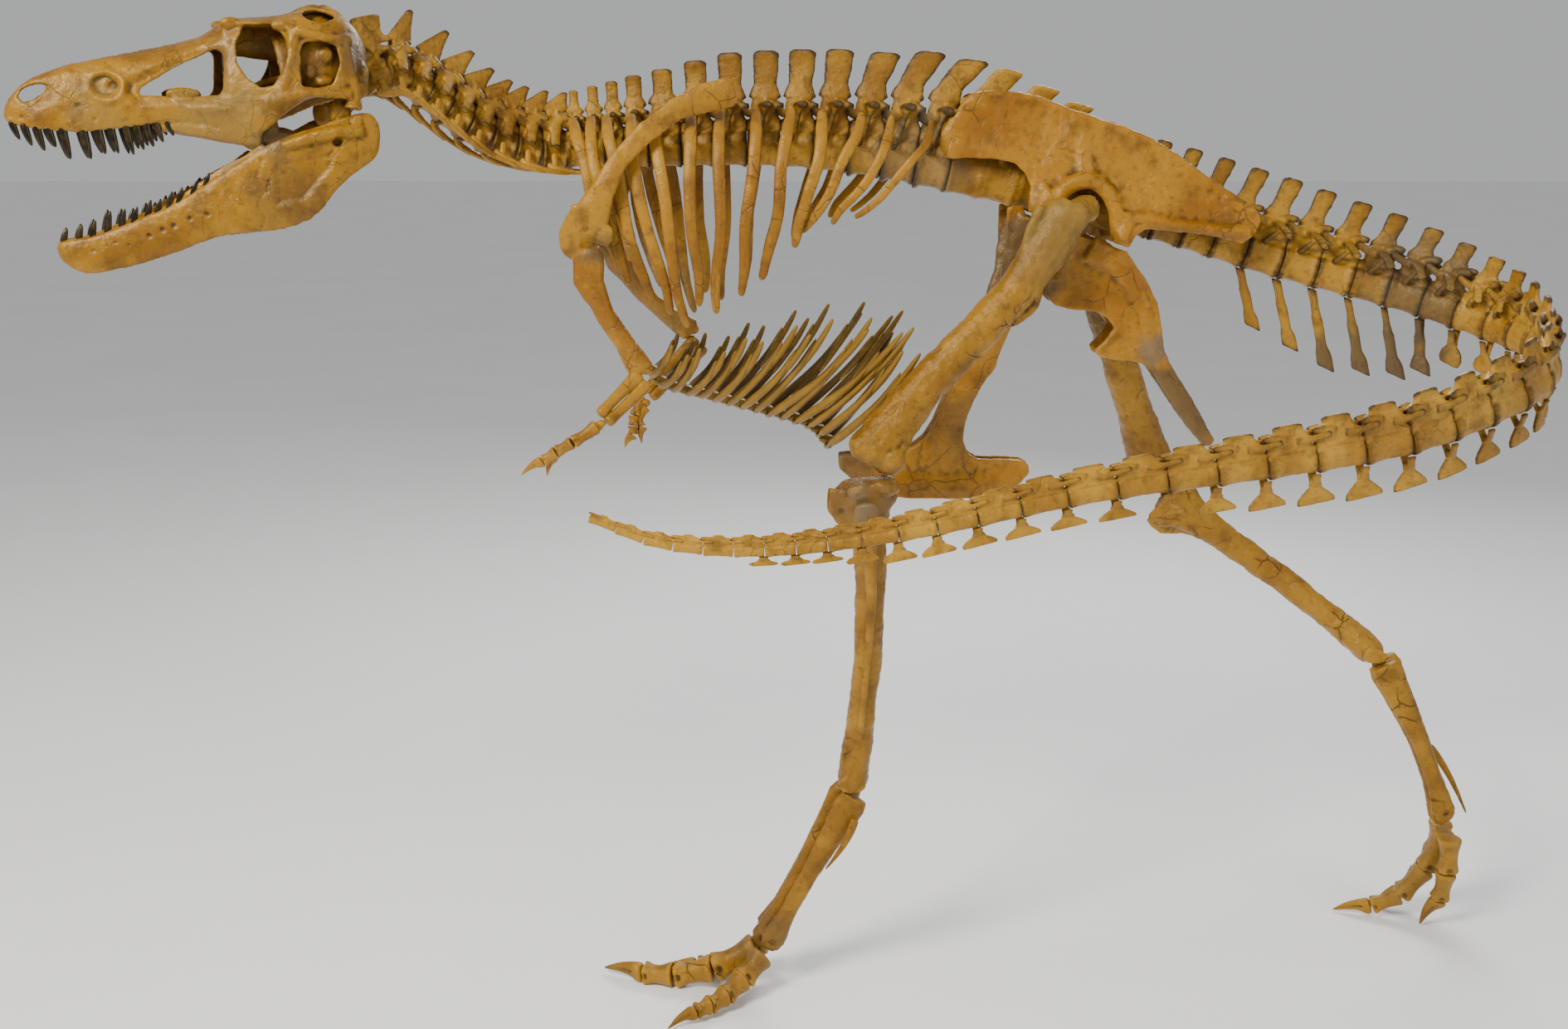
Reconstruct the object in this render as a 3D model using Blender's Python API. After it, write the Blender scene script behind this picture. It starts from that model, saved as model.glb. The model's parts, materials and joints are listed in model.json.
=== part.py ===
"""Mounted skeleton of a lightly built tyrannosauroid, life size, in one striding pose.

Metres, +Z up. The animal faces -X and its left side faces -Y. The origin is on the floor
under the middle of the skeleton. Every bone, or run of small bones that grow from one
another, is one closed solid.
"""
import math

import bmesh
import bpy
from mathutils import Vector

# ---- driving dimensions, metres ----
GAP = 0.0003                # clearance between solids that meet
SHIFT_X = -0.12226          # puts the middle of the skeleton over the origin
SHIFT_Y = 0.29673

CERVICALS = 9               # axis to last neck vertebra
DORSALS = 13
SACRALS = 5
CAUDALS = 41
SACRAL_BONE = 0.084
WAISTED_CAUDALS = 10        # tail vertebrae with a waist; those behind are plain
TAIL_NODES = (5, 5, 5, 5, 9, 12)
NECK_NODES = (3, 3, 3)
CHEST_NODES = (4, 4, 5)     # vertebrae, each with its pair of ribs
NECK_START = 0.022          # bare length between the skull and the first vertebra
NECK_END = 0.524            # where the neck meets the back, along the column
# vertebra length by number along the back and the tail
BACK_BONES = ((0, 0.0455), (2, 0.045), (3, 0.056), (4, 0.075), (12, 0.082))
TAIL_BONES = ((0, 0.074), (2, 0.077), (4, 0.089), (9, 0.086), (12, 0.080), (13, 0.098),
              (17, 0.110), (20, 0.102), (26, 0.100), (29, 0.080), (33, 0.060), (40, 0.054))

SKULL_LENGTH = 0.734
SKULL_YAW = math.radians(23)    # the head turns towards the animal's left
SKULL_BACK = Vector((-0.90, -0.27, 0.0))

FEMUR_SHAFT = 0.048         # half widths of the long bones at mid length
TIBIA_SHAFT = 0.031
FLOOR = 0.0

# centres of the vertebral bodies from the back of the skull to the tip of the tail
SPINE_WAY = (
    (-0.899, -0.275, 2.194), (-0.853, -0.230, 2.203), (-0.811, -0.190, 2.185),
    (-0.764, -0.152, 2.150), (-0.717, -0.115, 2.109), (-0.650, -0.070, 2.067),
    (-0.562, -0.025, 2.044), (-0.469, 0.000, 2.043), (-0.182, 0.000, 2.059),
    (0.010, 0.000, 2.061), (0.201, 0.000, 2.051), (0.393, 0.000, 2.025),
    (0.587, 0.000, 1.974), (0.781, 0.000, 1.911), (0.952, 0.000, 1.862),
    (1.117, 0.000, 1.810), (1.306, -0.008, 1.758), (1.470, -0.055, 1.712),
    (1.593, -0.170, 1.666), (1.638, -0.320, 1.636), (1.613, -0.480, 1.608),
    (1.530, -0.630, 1.580), (1.369, -0.755, 1.537), (1.191, -0.840, 1.497),
    (0.950, -0.895, 1.461), (0.570, -0.955, 1.411), (0.233, -1.010, 1.347),
    (-0.020, -1.030, 1.316), (-0.217, -1.045, 1.327), (-0.357, -1.055, 1.376),
)

# ribs: half width of the chest, and where the tips hang
CHEST_HALF_WIDTH = 0.20
RIB_THICK = (0.012, 0.006)  # half sizes fore and aft, and through
# by vertebra number: how far a tip hangs below the column, and behind its vertebra
RIB_REACH = ((0, 0.290, 0.100), (1, 0.325, 0.090), (3, 0.395, 0.100), (4, 0.430, 0.068),
             (5, 0.385, 0.025), (6, 0.405, -0.014), (8, 0.330, -0.060), (9, 0.255, -0.073),
             (10, 0.215, -0.125), (12, 0.165, -0.165))


# ---- small geometry helpers ----
def mix(a, b, t):
    """Value or vector at share t between a and b."""
    return a + (b - a) * t


def table(stops, t):
    """Straight-line value at t of a row of (t, value, value, ...) stops."""
    for low, high in zip(stops, stops[1:]):
        if t <= high[0]:
            share = max(0.0, (t - low[0]) / (high[0] - low[0]))
            return [mix(a, b, share) for a, b in zip(low[1:], high[1:])]
    return list(stops[-1][1:])


class Line:
    """Smooth curve through waypoints, measured by its length."""

    def __init__(self, points, steps=24):
        points = [Vector(p) for p in points]
        ends = [points[0] * 2 - points[1]] + points + [points[-1] * 2 - points[-2]]
        self.points = [points[0]]
        self.lengths = [0.0]
        for a, b, c, d in zip(ends, ends[1:], ends[2:], ends[3:]):
            for k in range(1, steps + 1):
                t = k / steps
                point = 0.5 * (2 * b + (c - a) * t + (2 * a - 5 * b + 4 * c - d) * t ** 2
                               + (3 * b - a - 3 * c + d) * t ** 3)
                self.lengths.append(self.lengths[-1] + (point - self.points[-1]).length)
                self.points.append(point)
        self.length = self.lengths[-1]

    def at(self, s):
        """Point at length s; past either end the line runs on straight."""
        last = len(self.points) - 1
        k = 1
        while k < last and self.lengths[k] < s:
            k += 1
        span = self.lengths[k] - self.lengths[k - 1]
        return mix(self.points[k - 1], self.points[k], (s - self.lengths[k - 1]) / span)

    def frame(self, s, up=Vector((0, 0, 1))):
        """Point, tangent, side and up vectors at length s; side is the animal's left."""
        tangent = (self.at(s + 0.02) - self.at(s - 0.02)).normalized()
        side = tangent.cross(up).normalized()
        return self.at(s), tangent, side, side.cross(tangent).normalized()


def strip(bm, ring_a, ring_b):
    """Four-sided faces between two closed rings of vertices."""
    count = len(ring_a)
    faces = []
    for k in range(count):
        n = (k + 1) % count
        faces.append(bm.faces.new((ring_a[k], ring_a[n], ring_b[n], ring_b[k])))
    return faces


def loft(bm, rings):
    """Closed tube through rings of points. Returns its side faces, row by row."""
    rows = [[bm.verts.new(p) for p in ring] for ring in rings]
    faces = [strip(bm, a, b) for a, b in zip(rows, rows[1:])]
    bm.faces.new(list(reversed(rows[0])))
    bm.faces.new(rows[-1])
    return faces


def pull(bm, face, steps):
    """Pull a four-cornered face out through steps of (centre, half vector, half vector)."""
    _, first, second = steps[0]
    middle = face.calc_center_median()
    corners = list(face.verts)
    signs = [(math.copysign(1, (v.co - middle).dot(first)),
              math.copysign(1, (v.co - middle).dot(second))) for v in corners]
    bm.faces.remove(face)
    for centre, along, across in steps:
        ring = [bm.verts.new(centre + along * a + across * b) for a, b in signs]
        strip(bm, corners, ring)
        corners = ring
    bm.faces.new(corners)


def oval(centre, half_a, half_b, sides, turn=0.5):
    """Ring of points round a centre from two half-axis vectors."""
    ring = []
    for k in range(sides):
        angle = 2 * math.pi * (k + turn) / sides
        ring.append(centre + half_a * math.cos(angle) + half_b * math.sin(angle))
    return ring


def inset(outline, distance):
    """Outline moved inwards by a distance; the outline runs clockwise or the other way."""
    count = len(outline)
    area = sum(outline[k - 1][0] * outline[k][1] - outline[k][0] * outline[k - 1][1]
               for k in range(count))
    turn = math.copysign(1, area)
    moved = []
    for k in range(count):
        before = Vector(outline[k]) - Vector(outline[k - 1])
        after = Vector(outline[(k + 1) % count]) - Vector(outline[k])
        normal = (before.normalized() + after.normalized()).normalized()
        inward = Vector((-normal.y, normal.x)) * turn
        moved.append(Vector(outline[k]) + inward * distance)
    return moved


# ---- objects and materials ----
def clear_scene():
    for item in list(bpy.data.objects):
        bpy.data.objects.remove(item, do_unlink=True)


def bone_material(name, colour, roughness):
    finish = bpy.data.materials.new(name)
    finish.use_nodes = True
    shader = finish.node_tree.nodes["Principled BSDF"]
    shader.inputs["Base Color"].default_value = (*colour, 1.0)
    shader.inputs["Roughness"].default_value = roughness
    shader.inputs["Metallic"].default_value = 0.0
    return finish


class Museum:
    """Turns finished bmeshes into named objects under one empty."""

    def __init__(self):
        self.root = bpy.data.objects.new("skeleton", None)
        bpy.context.collection.objects.link(self.root)
        self.root.location = (SHIFT_X, SHIFT_Y, 0.0)
        self.shades = {
            "bone": ((0.47, 0.25, 0.065), 0.45),
            "dark_bone": ((0.25, 0.12, 0.035), 0.5),
        }

    def add(self, name, bm, shade="bone", smooth=True):
        """One object from one closed mesh, its origin at the middle of its box."""
        bmesh.ops.recalc_face_normals(bm, faces=bm.faces)
        lows = [min(v.co[i] for v in bm.verts) for i in range(3)]
        highs = [max(v.co[i] for v in bm.verts) for i in range(3)]
        middle = (Vector(lows) + Vector(highs)) / 2
        bmesh.ops.translate(bm, verts=bm.verts, vec=-middle)
        mesh = bpy.data.meshes.new(name)
        bm.to_mesh(mesh)
        bm.free()
        item = bpy.data.objects.new(name, mesh)
        bpy.context.collection.objects.link(item)
        item.parent = self.root
        item.location = middle
        mesh.materials.append(bone_material(name + "_finish", *self.shades[shade]))
        if smooth:
            mesh.shade_smooth()
            mesh.set_sharp_from_angle(angle=math.radians(40))
        return item

    def combine(self, target, tool, operation):
        """Join or cut the target with a tool object that stays as a hidden guide."""
        tool.hide_render = True
        tool.display_type = "WIRE"
        change = target.modifiers.new(tool.name, "BOOLEAN")
        change.operation = operation
        change.solver = "EXACT"
        change.object = tool


# ---- vertebral column ----
def arched(centre, side, up, width, height):
    """Ring of a vertebra: a narrow arch above, the round body low down."""
    half = ((0.26, 1.0), (1.0, -0.38), (0.5, -1.0))
    right = [centre + side * width * a + up * height * b for a, b in half]
    left = [centre - side * width * a + up * height * b for a, b in reversed(half)]
    return right + left


def face_of(faces, centre, direction):
    """The face of a row that lies furthest in a direction from a centre."""
    left = [face for face in faces if face.is_valid]
    return max(left, key=lambda f: (f.calc_center_median() - centre).normalized().dot(direction))


def column(bm, line, start, lengths, first, body, grow, waisted=True):
    """Row of vertebrae; grow(bm, number, front faces, rear faces, s, length) adds to each."""
    rings = []
    s = start
    sizes = []
    swells = ((0.0, 1.0), (0.5, 0.8)) if waisted else ((0.0, 1.0),)
    for k, length in enumerate(lengths):
        width, height = body(first + k)
        for share, swell in swells:
            place = s + share * length
            centre, _, side, up = line.frame(place)
            rings.append(arched(centre, side, up, width * swell, height * mix(1.0, swell, 0.5)))
        sizes.append((s, length))
        s += length
    width, height = body(first + len(lengths))
    centre, _, side, up = line.frame(s - 3 * GAP)
    rings.append(arched(centre, side, up, width, height))
    rows = loft(bm, rings)
    each = len(swells)
    for k, (place, length) in enumerate(sizes):
        grow(bm, first + k, rows[each * k], rows[each * k + each - 1], place, length)


def neck_body(index):
    share = index / CERVICALS
    return mix(0.044, 0.046, share), mix(0.052, 0.070, share)


def grow_neck(line):
    def grow(bm, index, front, rear, s, length):
        _, height = neck_body(index)
        centre, tangent, side, up = line.frame(s + 0.40 * length)
        tall = table(((0, 0.115), (1, 0.136), (4, 0.120), (8, 0.112)), index)[0]
        wide = 0.028 if index == 0 else 0.015
        pull(bm, face_of(rear, centre, up), [
            (centre + up * (height + 0.010), tangent * wide, side * 0.009),
            (centre + up * tall + tangent * 0.008, tangent * 0.006, side * 0.004)])
        head, tangent, side, up = line.frame(s + 0.25 * length)
        low = height * 0.72
        for out in (side, -side):
            pull(bm, face_of(front, head, (out - up * 0.7).normalized()), [
                (head + out * 0.046 - up * low, tangent * 0.012, up * 0.006),
                (head + out * 0.054 - up * (low + 0.010) + tangent * 0.6 * length,
                 tangent * 0.002 + up * 0.003, up * -0.003 + out * 0.003),
                (head + out * 0.060 - up * (low + 0.016) + tangent * 1.2 * length,
                 tangent * 0.001 + up * 0.0015, up * -0.0015 + out * 0.0015)])
    return grow


def make_neck(museum, line):
    length = (NECK_END - NECK_START) / CERVICALS
    s = NECK_START
    first = 0
    for number, count in enumerate(NECK_NODES, 1):
        bm = bmesh.new()
        column(bm, line, s, [length] * count, first, neck_body, grow_neck(line))
        museum.add(f"neck_{number}", bm)
        s += length * count
        first += count
    return s


def half_ring(centre, side, up, width, height):
    """Half of a vertebra's ring on one side of the sagittal plane."""
    flat = side * (GAP / 2)
    return [centre + flat + up * height, centre + side * width * 0.26 + up * height,
            centre + side * width - up * height * 0.38,
            centre + side * width * 0.5 - up * height, centre + flat - up * height]


def chest_rib(line, index, s, length, side_sign):
    """Steps of one rib, from its vertebra out round the chest to its tip."""
    head, _, side, _ = line.frame(s + mix(0.4, 0.2, index / (DORSALS - 1)) * length)
    out = side * side_sign
    share = index / (DORSALS - 1)
    breadth = CHEST_HALF_WIDTH * (0.66 + 0.34 * math.sin(math.pi * min(0.8, 0.14 + share)))
    drop, swing = table(RIB_REACH, index)
    ahead = Vector((1, 0, 0))
    shapes = ((0.058, 0.045, 0.0, 1.0), (0.80 * breadth, 0.0, 0.06, 1.0),
              (breadth, -0.55 * drop, 0.50, 0.9), (0.84 * breadth, -drop, 1.0, 0.7))
    points = [head + out * wide + Vector((0, 0, rise)) + ahead * swing * along
              for wide, rise, along, _ in shapes]
    steps = []
    for k, point in enumerate(points):
        path = (points[min(k + 1, 3)] - points[max(k - 1, 0)]).normalized()
        fore = (ahead - path * path.dot(ahead)).normalized()
        size = shapes[k][3]
        steps.append((point, fore * RIB_THICK[0] * size, path.cross(fore) * RIB_THICK[1] * size))
    return steps


# by vertebra number: height of the spine above the column, half its length, its slope back
BACK_SPINES = ((0, 0.115, 0.009, 0.0), (4, 0.148, 0.016, 0.0), (6, 0.178, 0.019, 0.0),
               (9, 0.190, 0.022, 0.006), (10, 0.191, 0.028, 0.030), (11, 0.204, 0.030, 0.045),
               (12, 0.200, 0.029, 0.045))


def make_rib_cages(museum, line, start):
    """Left and right halves of the back in three lengths, each with its own row of ribs."""
    bone = [table(BACK_BONES, k)[0] for k in range(DORSALS)]
    places = [start + sum(bone[:k]) for k in range(DORSALS + 1)]
    for name, side_sign in (("rib_cage_left", 1), ("rib_cage_right", -1)):
        first = 0
        for number, count in enumerate(CHEST_NODES, 1):
            bm = bmesh.new()
            rings = []
            for k in range(first, first + count + 1):
                last = k == first + count
                centre, _, side, up = line.frame(places[k] - (3 * GAP if last else 0.0))
                height = mix(0.070, 0.084, min(1.0, k / 5))
                rings.append(half_ring(centre, side * side_sign, up, 0.045, height))
            rows = loft(bm, rings)
            for k in range(first, first + count):
                centre, tangent, side, up = line.frame(places[k] + 0.5 * bone[k])
                out = side * side_sign
                tall, wide, slope = table(BACK_SPINES, k)
                lean = tangent * slope
                thin = out * 0.005
                row = rows[k - first]
                pull(bm, row[0], [
                    (centre + up * 0.100 + thin * 1.4 + lean * 0.2, tangent * wide * 0.8,
                     thin * 1.3),
                    (centre + up * tall + lean + out * GAP / 2 + thin, tangent * wide, thin)])
                pull(bm, row[1], chest_rib(line, k, places[k], bone[k], side_sign))
            museum.add(f"{name}_{number}", bm)
            first += count
    return places[-1]


def make_sacrum(museum, line, start):
    def body(index):
        return 0.042, 0.080

    def grow(bm, index, front, rear, s, length):
        centre, tangent, side, up = line.frame(s + 0.5 * length)
        tall = mix(0.196, 0.140, index / (SACRALS - 1))
        pull(bm, face_of(front, centre, up), [
            (centre + up * 0.10 + tangent * 0.006, tangent * 0.028, side * 0.009),
            (centre + up * tall + tangent * 0.034, tangent * 0.028, side * 0.006)])
        for out in (side, -side):
            pull(bm, face_of(front, centre, (out + up * 0.5).normalized()), [
                (centre + out * 0.050 - up * 0.020, tangent * 0.02, up * 0.018)])

    bm = bmesh.new()
    column(bm, line, start, [SACRAL_BONE] * SACRALS, 0, body, grow, waisted=False)
    museum.add("sacrum", bm)
    return start + SACRAL_BONE * SACRALS


# by vertebra number: half height of the body, and rise and half length of its spine
TAIL_BODIES = ((0, 0.082, 0.072, 0.021), (4, 0.081, 0.077, 0.020), (7, 0.078, 0.066, 0.020),
               (9, 0.077, 0.048, 0.018), (13, 0.066, 0.024, 0.018), (20, 0.046, 0.012, 0.026),
               (25, 0.029, 0.008, 0.030), (31, 0.021, 0.005, 0.022), (36, 0.018, 0.004, 0.018),
               (41, 0.008, 0.003, 0.012))
# by vertebra number: depth of the chevron behind it, its slope back, half length of its foot
CHEVRONS = ((3, 0.198, 0.40, 0.011), (5, 0.247, 0.38, 0.012), (7, 0.218, 0.36, 0.014),
            (8, 0.190, 0.23, 0.016), (9, 0.150, 0.10, 0.018), (12, 0.118, 0.0, 0.020),
            (18, 0.110, 0.0, 0.034), (20, 0.104, 0.0, 0.036), (22, 0.088, 0.0, 0.034),
            (25, 0.060, 0.0, 0.034), (30, 0.054, 0.0, 0.028), (32, 0.036, 0.0, 0.022),
            (34, 0.034, 0.0, 0.018))
HIDDEN_BY_HIPS = 4          # tail vertebrae between the hip blades, with short processes
SIDE_PROCESSES = 12         # tail vertebrae with a process on either side


def tail_body(index):
    """Half width and half height of a tail vertebra, arch included."""
    return max(0.008, 0.047 * (1 - index / CAUDALS) ** 0.9), table(TAIL_BODIES, index)[0]


def grow_tail(line):
    def grow(bm, index, front, rear, s, length):
        width, _ = tail_body(index)
        height, rise, wide = table(TAIL_BODIES, index)
        centre, tangent, side, up = line.frame(s + 0.55 * length)
        if index < CAUDALS - 6:
            pull(bm, face_of(rear, centre, up), [
                (centre + up * (height + 0.2 * rise), tangent * wide * 0.7, side * 0.007),
                (centre + up * (height + rise) + tangent * rise * 0.15, tangent * wide, side * 0.004)])
        if CHEVRONS[0][0] <= index <= CHEVRONS[-1][0]:
            depth, slope, foot = table(CHEVRONS, index)
            reach = depth - height
            joint, tangent, side, up = line.frame(s + 0.96 * length)
            lean = tangent * slope * depth
            pull(bm, face_of(rear, centre, -up), [
                (joint - up * (height + 0.2 * reach) + lean * 0.2, tangent * 0.010, side * 0.008),
                (joint - up * (height + 0.8 * reach) + lean * 0.85, tangent * 0.010, side * 0.005),
                (joint - up * depth + lean, tangent * foot, side * 0.004)])
        if index < SIDE_PROCESSES:
            middle, tangent, side, up = line.frame(s + 0.25 * length)
            span = width + 0.070 * (1 - index / (SIDE_PROCESSES + 1))
            if index < HIDDEN_BY_HIPS:
                span = 0.058
            for out in (side, -side):
                pull(bm, face_of(front, middle, (out + up * 0.5).normalized()), [
                    (middle + out * span + tangent * 0.015, tangent * 0.014, up * 0.006)])
    return grow


def make_tail(museum, line, start):
    bone = [table(TAIL_BONES, k)[0] for k in range(CAUDALS)]
    scale = (line.length - start) / sum(bone)
    bone = [length * scale for length in bone]
    s = start
    first = 0
    for number, count in enumerate(TAIL_NODES, 1):
        bm = bmesh.new()
        column(bm, line, s, bone[first:first + count], first, tail_body, grow_tail(line),
               waisted=first < WAISTED_CAUDALS)
        museum.add(f"tail_{number}", bm)
        s += sum(bone[first:first + count])
        first += count


# ---- skull and jaws, set out along the length of the head ----
HEAD_FORWARD = Vector((-math.cos(SKULL_YAW), -math.sin(SKULL_YAW), 0.0))
HEAD_LEFT = Vector((math.sin(SKULL_YAW), -math.cos(SKULL_YAW), 0.0))


def head_point(s, offset, z):
    """Point of the head: s forward from its back, offset to its left, z above the floor."""
    return SKULL_BACK + HEAD_FORWARD * s + HEAD_LEFT * offset + Vector((0, 0, z))


# distance from the back of the head, roof and underside heights, half widths of both
SKULL_STATIONS = (
    (0.004, 2.225, 2.150, 0.060, 0.075),
    (0.035, 2.272, 2.096, 0.105, 0.140),
    (0.100, 2.328, 2.096, 0.095, 0.158),
    (0.175, 2.306, 2.090, 0.108, 0.150),
    (0.235, 2.296, 2.050, 0.100, 0.136),
    (0.290, 2.292, 2.050, 0.070, 0.116),
    (0.350, 2.252, 2.070, 0.045, 0.098),
    (0.420, 2.236, 2.081, 0.038, 0.085),
    (0.500, 2.220, 2.070, 0.036, 0.072),
    (0.570, 2.206, 2.060, 0.034, 0.060),
    (0.650, 2.182, 2.063, 0.029, 0.048),
    (0.712, 2.146, 2.074, 0.016, 0.028),
    (SKULL_LENGTH, 2.105, 2.084, 0.006, 0.010),
)

# distance from the back of the head, top and bottom edges, distance from the middle plane
JAW_STATIONS = (
    (0.008, 2.060, 2.028, 0.128), (0.045, 2.088, 1.993, 0.132), (0.105, 2.081, 1.944, 0.132),
    (0.155, 2.070, 1.890, 0.128), (0.220, 2.044, 1.871, 0.120), (0.340, 1.972, 1.858, 0.092),
    (0.400, 1.928, 1.833, 0.078), (0.480, 1.890, 1.803, 0.057), (0.565, 1.859, 1.781, 0.036),
    (0.625, 1.849, 1.784, 0.021), (0.652, 1.842, 1.818, 0.014),
)


def skull_ring(station):
    s, top, bottom, roof, cheek = station
    depth = top - bottom
    half = [(roof, top), (mix(roof, cheek, 0.8), top - 0.22 * depth), (cheek, top - 0.62 * depth),
            (cheek * 0.92, bottom)]
    right = [(-offset, z) for offset, z in reversed(half)]
    return [head_point(s, offset, z) for offset, z in half + right]


def tunnel(museum, name, outline):
    """Cutter through both sides of the skull from an outline of (s, z) points."""
    bm = bmesh.new()
    loft(bm, [[head_point(s, offset, z) for s, z in outline] for offset in (0.3, -0.3)])
    return museum.add(name, bm, smooth=False)


def round_outline(s, z, half_s, half_z, sides, lean=0.0):
    """Oval outline round (s, z), its upper end leant forward by lean times its height."""
    points = []
    for k in range(sides):
        angle = 2 * math.pi * k / sides
        rise = half_z * math.sin(angle)
        points.append((s + half_s * math.cos(angle) + lean * rise, z + rise))
    return points


def tooth_row(museum, name, count, edge, lengths, side_sign):
    """Saw of teeth: edge(t) gives (s, offset, z) of the gum line, lengths the tips' reach."""
    rings = []
    direction = math.copysign(1, lengths[0])
    for k in range(2 * count + 1):
        t = k / (2 * count)
        s, offset, z = edge(t)
        reach = mix(lengths[0], lengths[1], t) if k % 2 else -0.006 * direction
        thick = 0.004
        lean = -0.006 if k % 2 else 0.0
        rings.append([head_point(s, side_sign * (offset - thick), z - 0.010 * direction),
                      head_point(s, side_sign * (offset + thick), z - 0.010 * direction),
                      head_point(s + lean, side_sign * offset, z + reach)])
    bm = bmesh.new()
    loft(bm, rings)
    return museum.add(name, bm, smooth=False)


def make_skull(museum):
    bm = bmesh.new()
    loft(bm, [skull_ring(station) for station in SKULL_STATIONS])
    skull = museum.add("skull", bm)

    def gum(t):
        s = mix(0.712, 0.385, t)
        _, bottom, _, cheek = table(SKULL_STATIONS, s)
        return s, cheek * 0.92 - 0.006, bottom

    for side, side_sign in (("left", 1), ("right", -1)):
        row = tooth_row(museum, f"upper_teeth_{side}", 10, gum, (-0.044, -0.036), side_sign)
        museum.combine(skull, row, "UNION")
    openings = {
        "nostril": round_outline(0.664, 2.140, 0.020, 0.014, 8, lean=-0.5),
        "cheek_window": [(0.472, 2.143), (0.316, 2.226), (0.306, 2.215), (0.310, 2.147), (0.330, 2.138)],
        "eye_socket": round_outline(0.232, 2.212, 0.036, 0.056, 10, lean=0.1),
    }
    for name, outline in openings.items():
        museum.combine(skull, tunnel(museum, name, outline), "DIFFERENCE")


def make_jaws(museum):
    for side, side_sign in (("left", 1), ("right", -1)):
        rings = []
        for s, top, bottom, offset in JAW_STATIONS:
            thick = min(0.014, offset - GAP)
            middle = mix(bottom, top, 0.5)
            rings.append([head_point(s, side_sign * (offset + across), z) for across, z in (
                (0.0, top), (thick, mix(middle, top, 0.4)), (thick, mix(middle, bottom, 0.5)),
                (0.0, bottom), (-thick, middle))])
        bm = bmesh.new()
        loft(bm, rings)
        jaw = museum.add(f"jaw_{side}", bm)

        def gum(t):
            s = mix(0.640, 0.335, t)
            top, _, offset = table(JAW_STATIONS, s)
            return s, offset, top - 0.002

        row = tooth_row(museum, f"lower_teeth_{side}", 10, gum, (0.032, 0.026), side_sign)
        museum.combine(jaw, row, "UNION")


# ---- plates: hip blades and shoulder blades ----
def plate(bm, outline, surface, half_thick, bevel):
    """Lens-edged plate: surface(p, depth) places outline points at a depth through it."""
    inner = inset(outline, bevel)
    rows = []
    for ring, depth in ((inner, half_thick), (outline, 0.0), (inner, -half_thick)):
        rows.append([bm.verts.new(surface(p, depth)) for p in ring])
    strip(bm, rows[0], rows[1])
    strip(bm, rows[1], rows[2])
    bm.faces.new(list(reversed(rows[0])))
    bm.faces.new(rows[2])


ILIUM = (
    (0.356, 2.060), (0.392, 2.108), (0.424, 2.146), (0.498, 2.154), (0.580, 2.140),
    (0.718, 2.091), (0.841, 2.049), (0.961, 1.966), (1.070, 1.893), (1.088, 1.862),
    (1.048, 1.806), (0.962, 1.828), (0.822, 1.843), (0.790, 1.800), (0.752, 1.815),
    (0.752, 1.880), (0.738, 1.915), (0.690, 1.938), (0.640, 1.918), (0.610, 1.872),
    (0.556, 1.882), (0.562, 1.940), (0.523, 1.988), (0.448, 2.000), (0.380, 2.000),
    (0.356, 2.020),
)
PUBIS = (
    (0.508, 1.900), (0.546, 1.900), (0.552, 1.862), (0.600, 1.858), (0.566, 1.740),
    (0.524, 1.600), (0.494, 1.518), (0.445, 1.445), (0.424, 1.340), (0.450, 1.299),
    (0.566, 1.296), (0.587, 1.270), (0.554, 1.225), (0.446, 1.198), (0.289, 1.198),
    (0.190, 1.230), (0.131, 1.272), (0.128, 1.312), (0.210, 1.312), (0.300, 1.325),
    (0.352, 1.380), (0.388, 1.460), (0.450, 1.600), (0.500, 1.740),
)
ISCHIUM = (
    (0.650, 1.838), (0.745, 1.806), (0.787, 1.792), (0.844, 1.715), (0.868, 1.670),
    (0.890, 1.564), (0.924, 1.504), (0.969, 1.435), (1.026, 1.339), (0.999, 1.325),
    (0.934, 1.407), (0.864, 1.510), (0.822, 1.534), (0.748, 1.542), (0.728, 1.562),
    (0.773, 1.616), (0.725, 1.654), (0.658, 1.658), (0.605, 1.685), (0.615, 1.790),
)


def leaning(side_sign, top, bottom):
    """Flat leaning surface, from (z, distance from the middle plane) at top to bottom."""
    def surface(point, depth):
        share = (point[1] - bottom[0]) / (top[0] - bottom[0])
        return Vector((point[0], side_sign * (mix(bottom[1], top[1], share) + depth), point[1]))
    return surface


def make_pelvis(museum):
    for side, side_sign in (("left", -1), ("right", 1)):
        bm = bmesh.new()
        plate(bm, ILIUM, leaning(side_sign, (2.154, 0.052), (1.80, 0.098)), 0.013, 0.014)
        museum.add(f"ilium_{side}", bm)
        bm = bmesh.new()
        plate(bm, PUBIS, leaning(side_sign, (1.900, 0.085), (1.20, 0.0135)), 0.013, 0.012)
        museum.add(f"pubis_{side}", bm)
        bm = bmesh.new()
        plate(bm, ISCHIUM, leaning(side_sign, (1.838, 0.085), (1.33, 0.0135)), 0.013, 0.011)
        museum.add(f"ischium_{side}", bm)


# ---- limb bones ----
def limb(bm, line, stops, sides, lateral):
    """Bone along a line from stops of (share of its length, half breadth, half depth)."""
    rings = []
    for share, breadth, depth in stops:
        s = share * line.length
        centre = line.at(s)
        tangent = (line.at(s + 0.01) - line.at(s - 0.01)).normalized()
        across = (lateral - tangent * tangent.dot(lateral)).normalized()
        ring = oval(centre, tangent.cross(across) * breadth, across * depth, sides)
        for point in ring:
            point.z = max(point.z, FLOOR)
        rings.append(ring)
    return loft(bm, rings)


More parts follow.
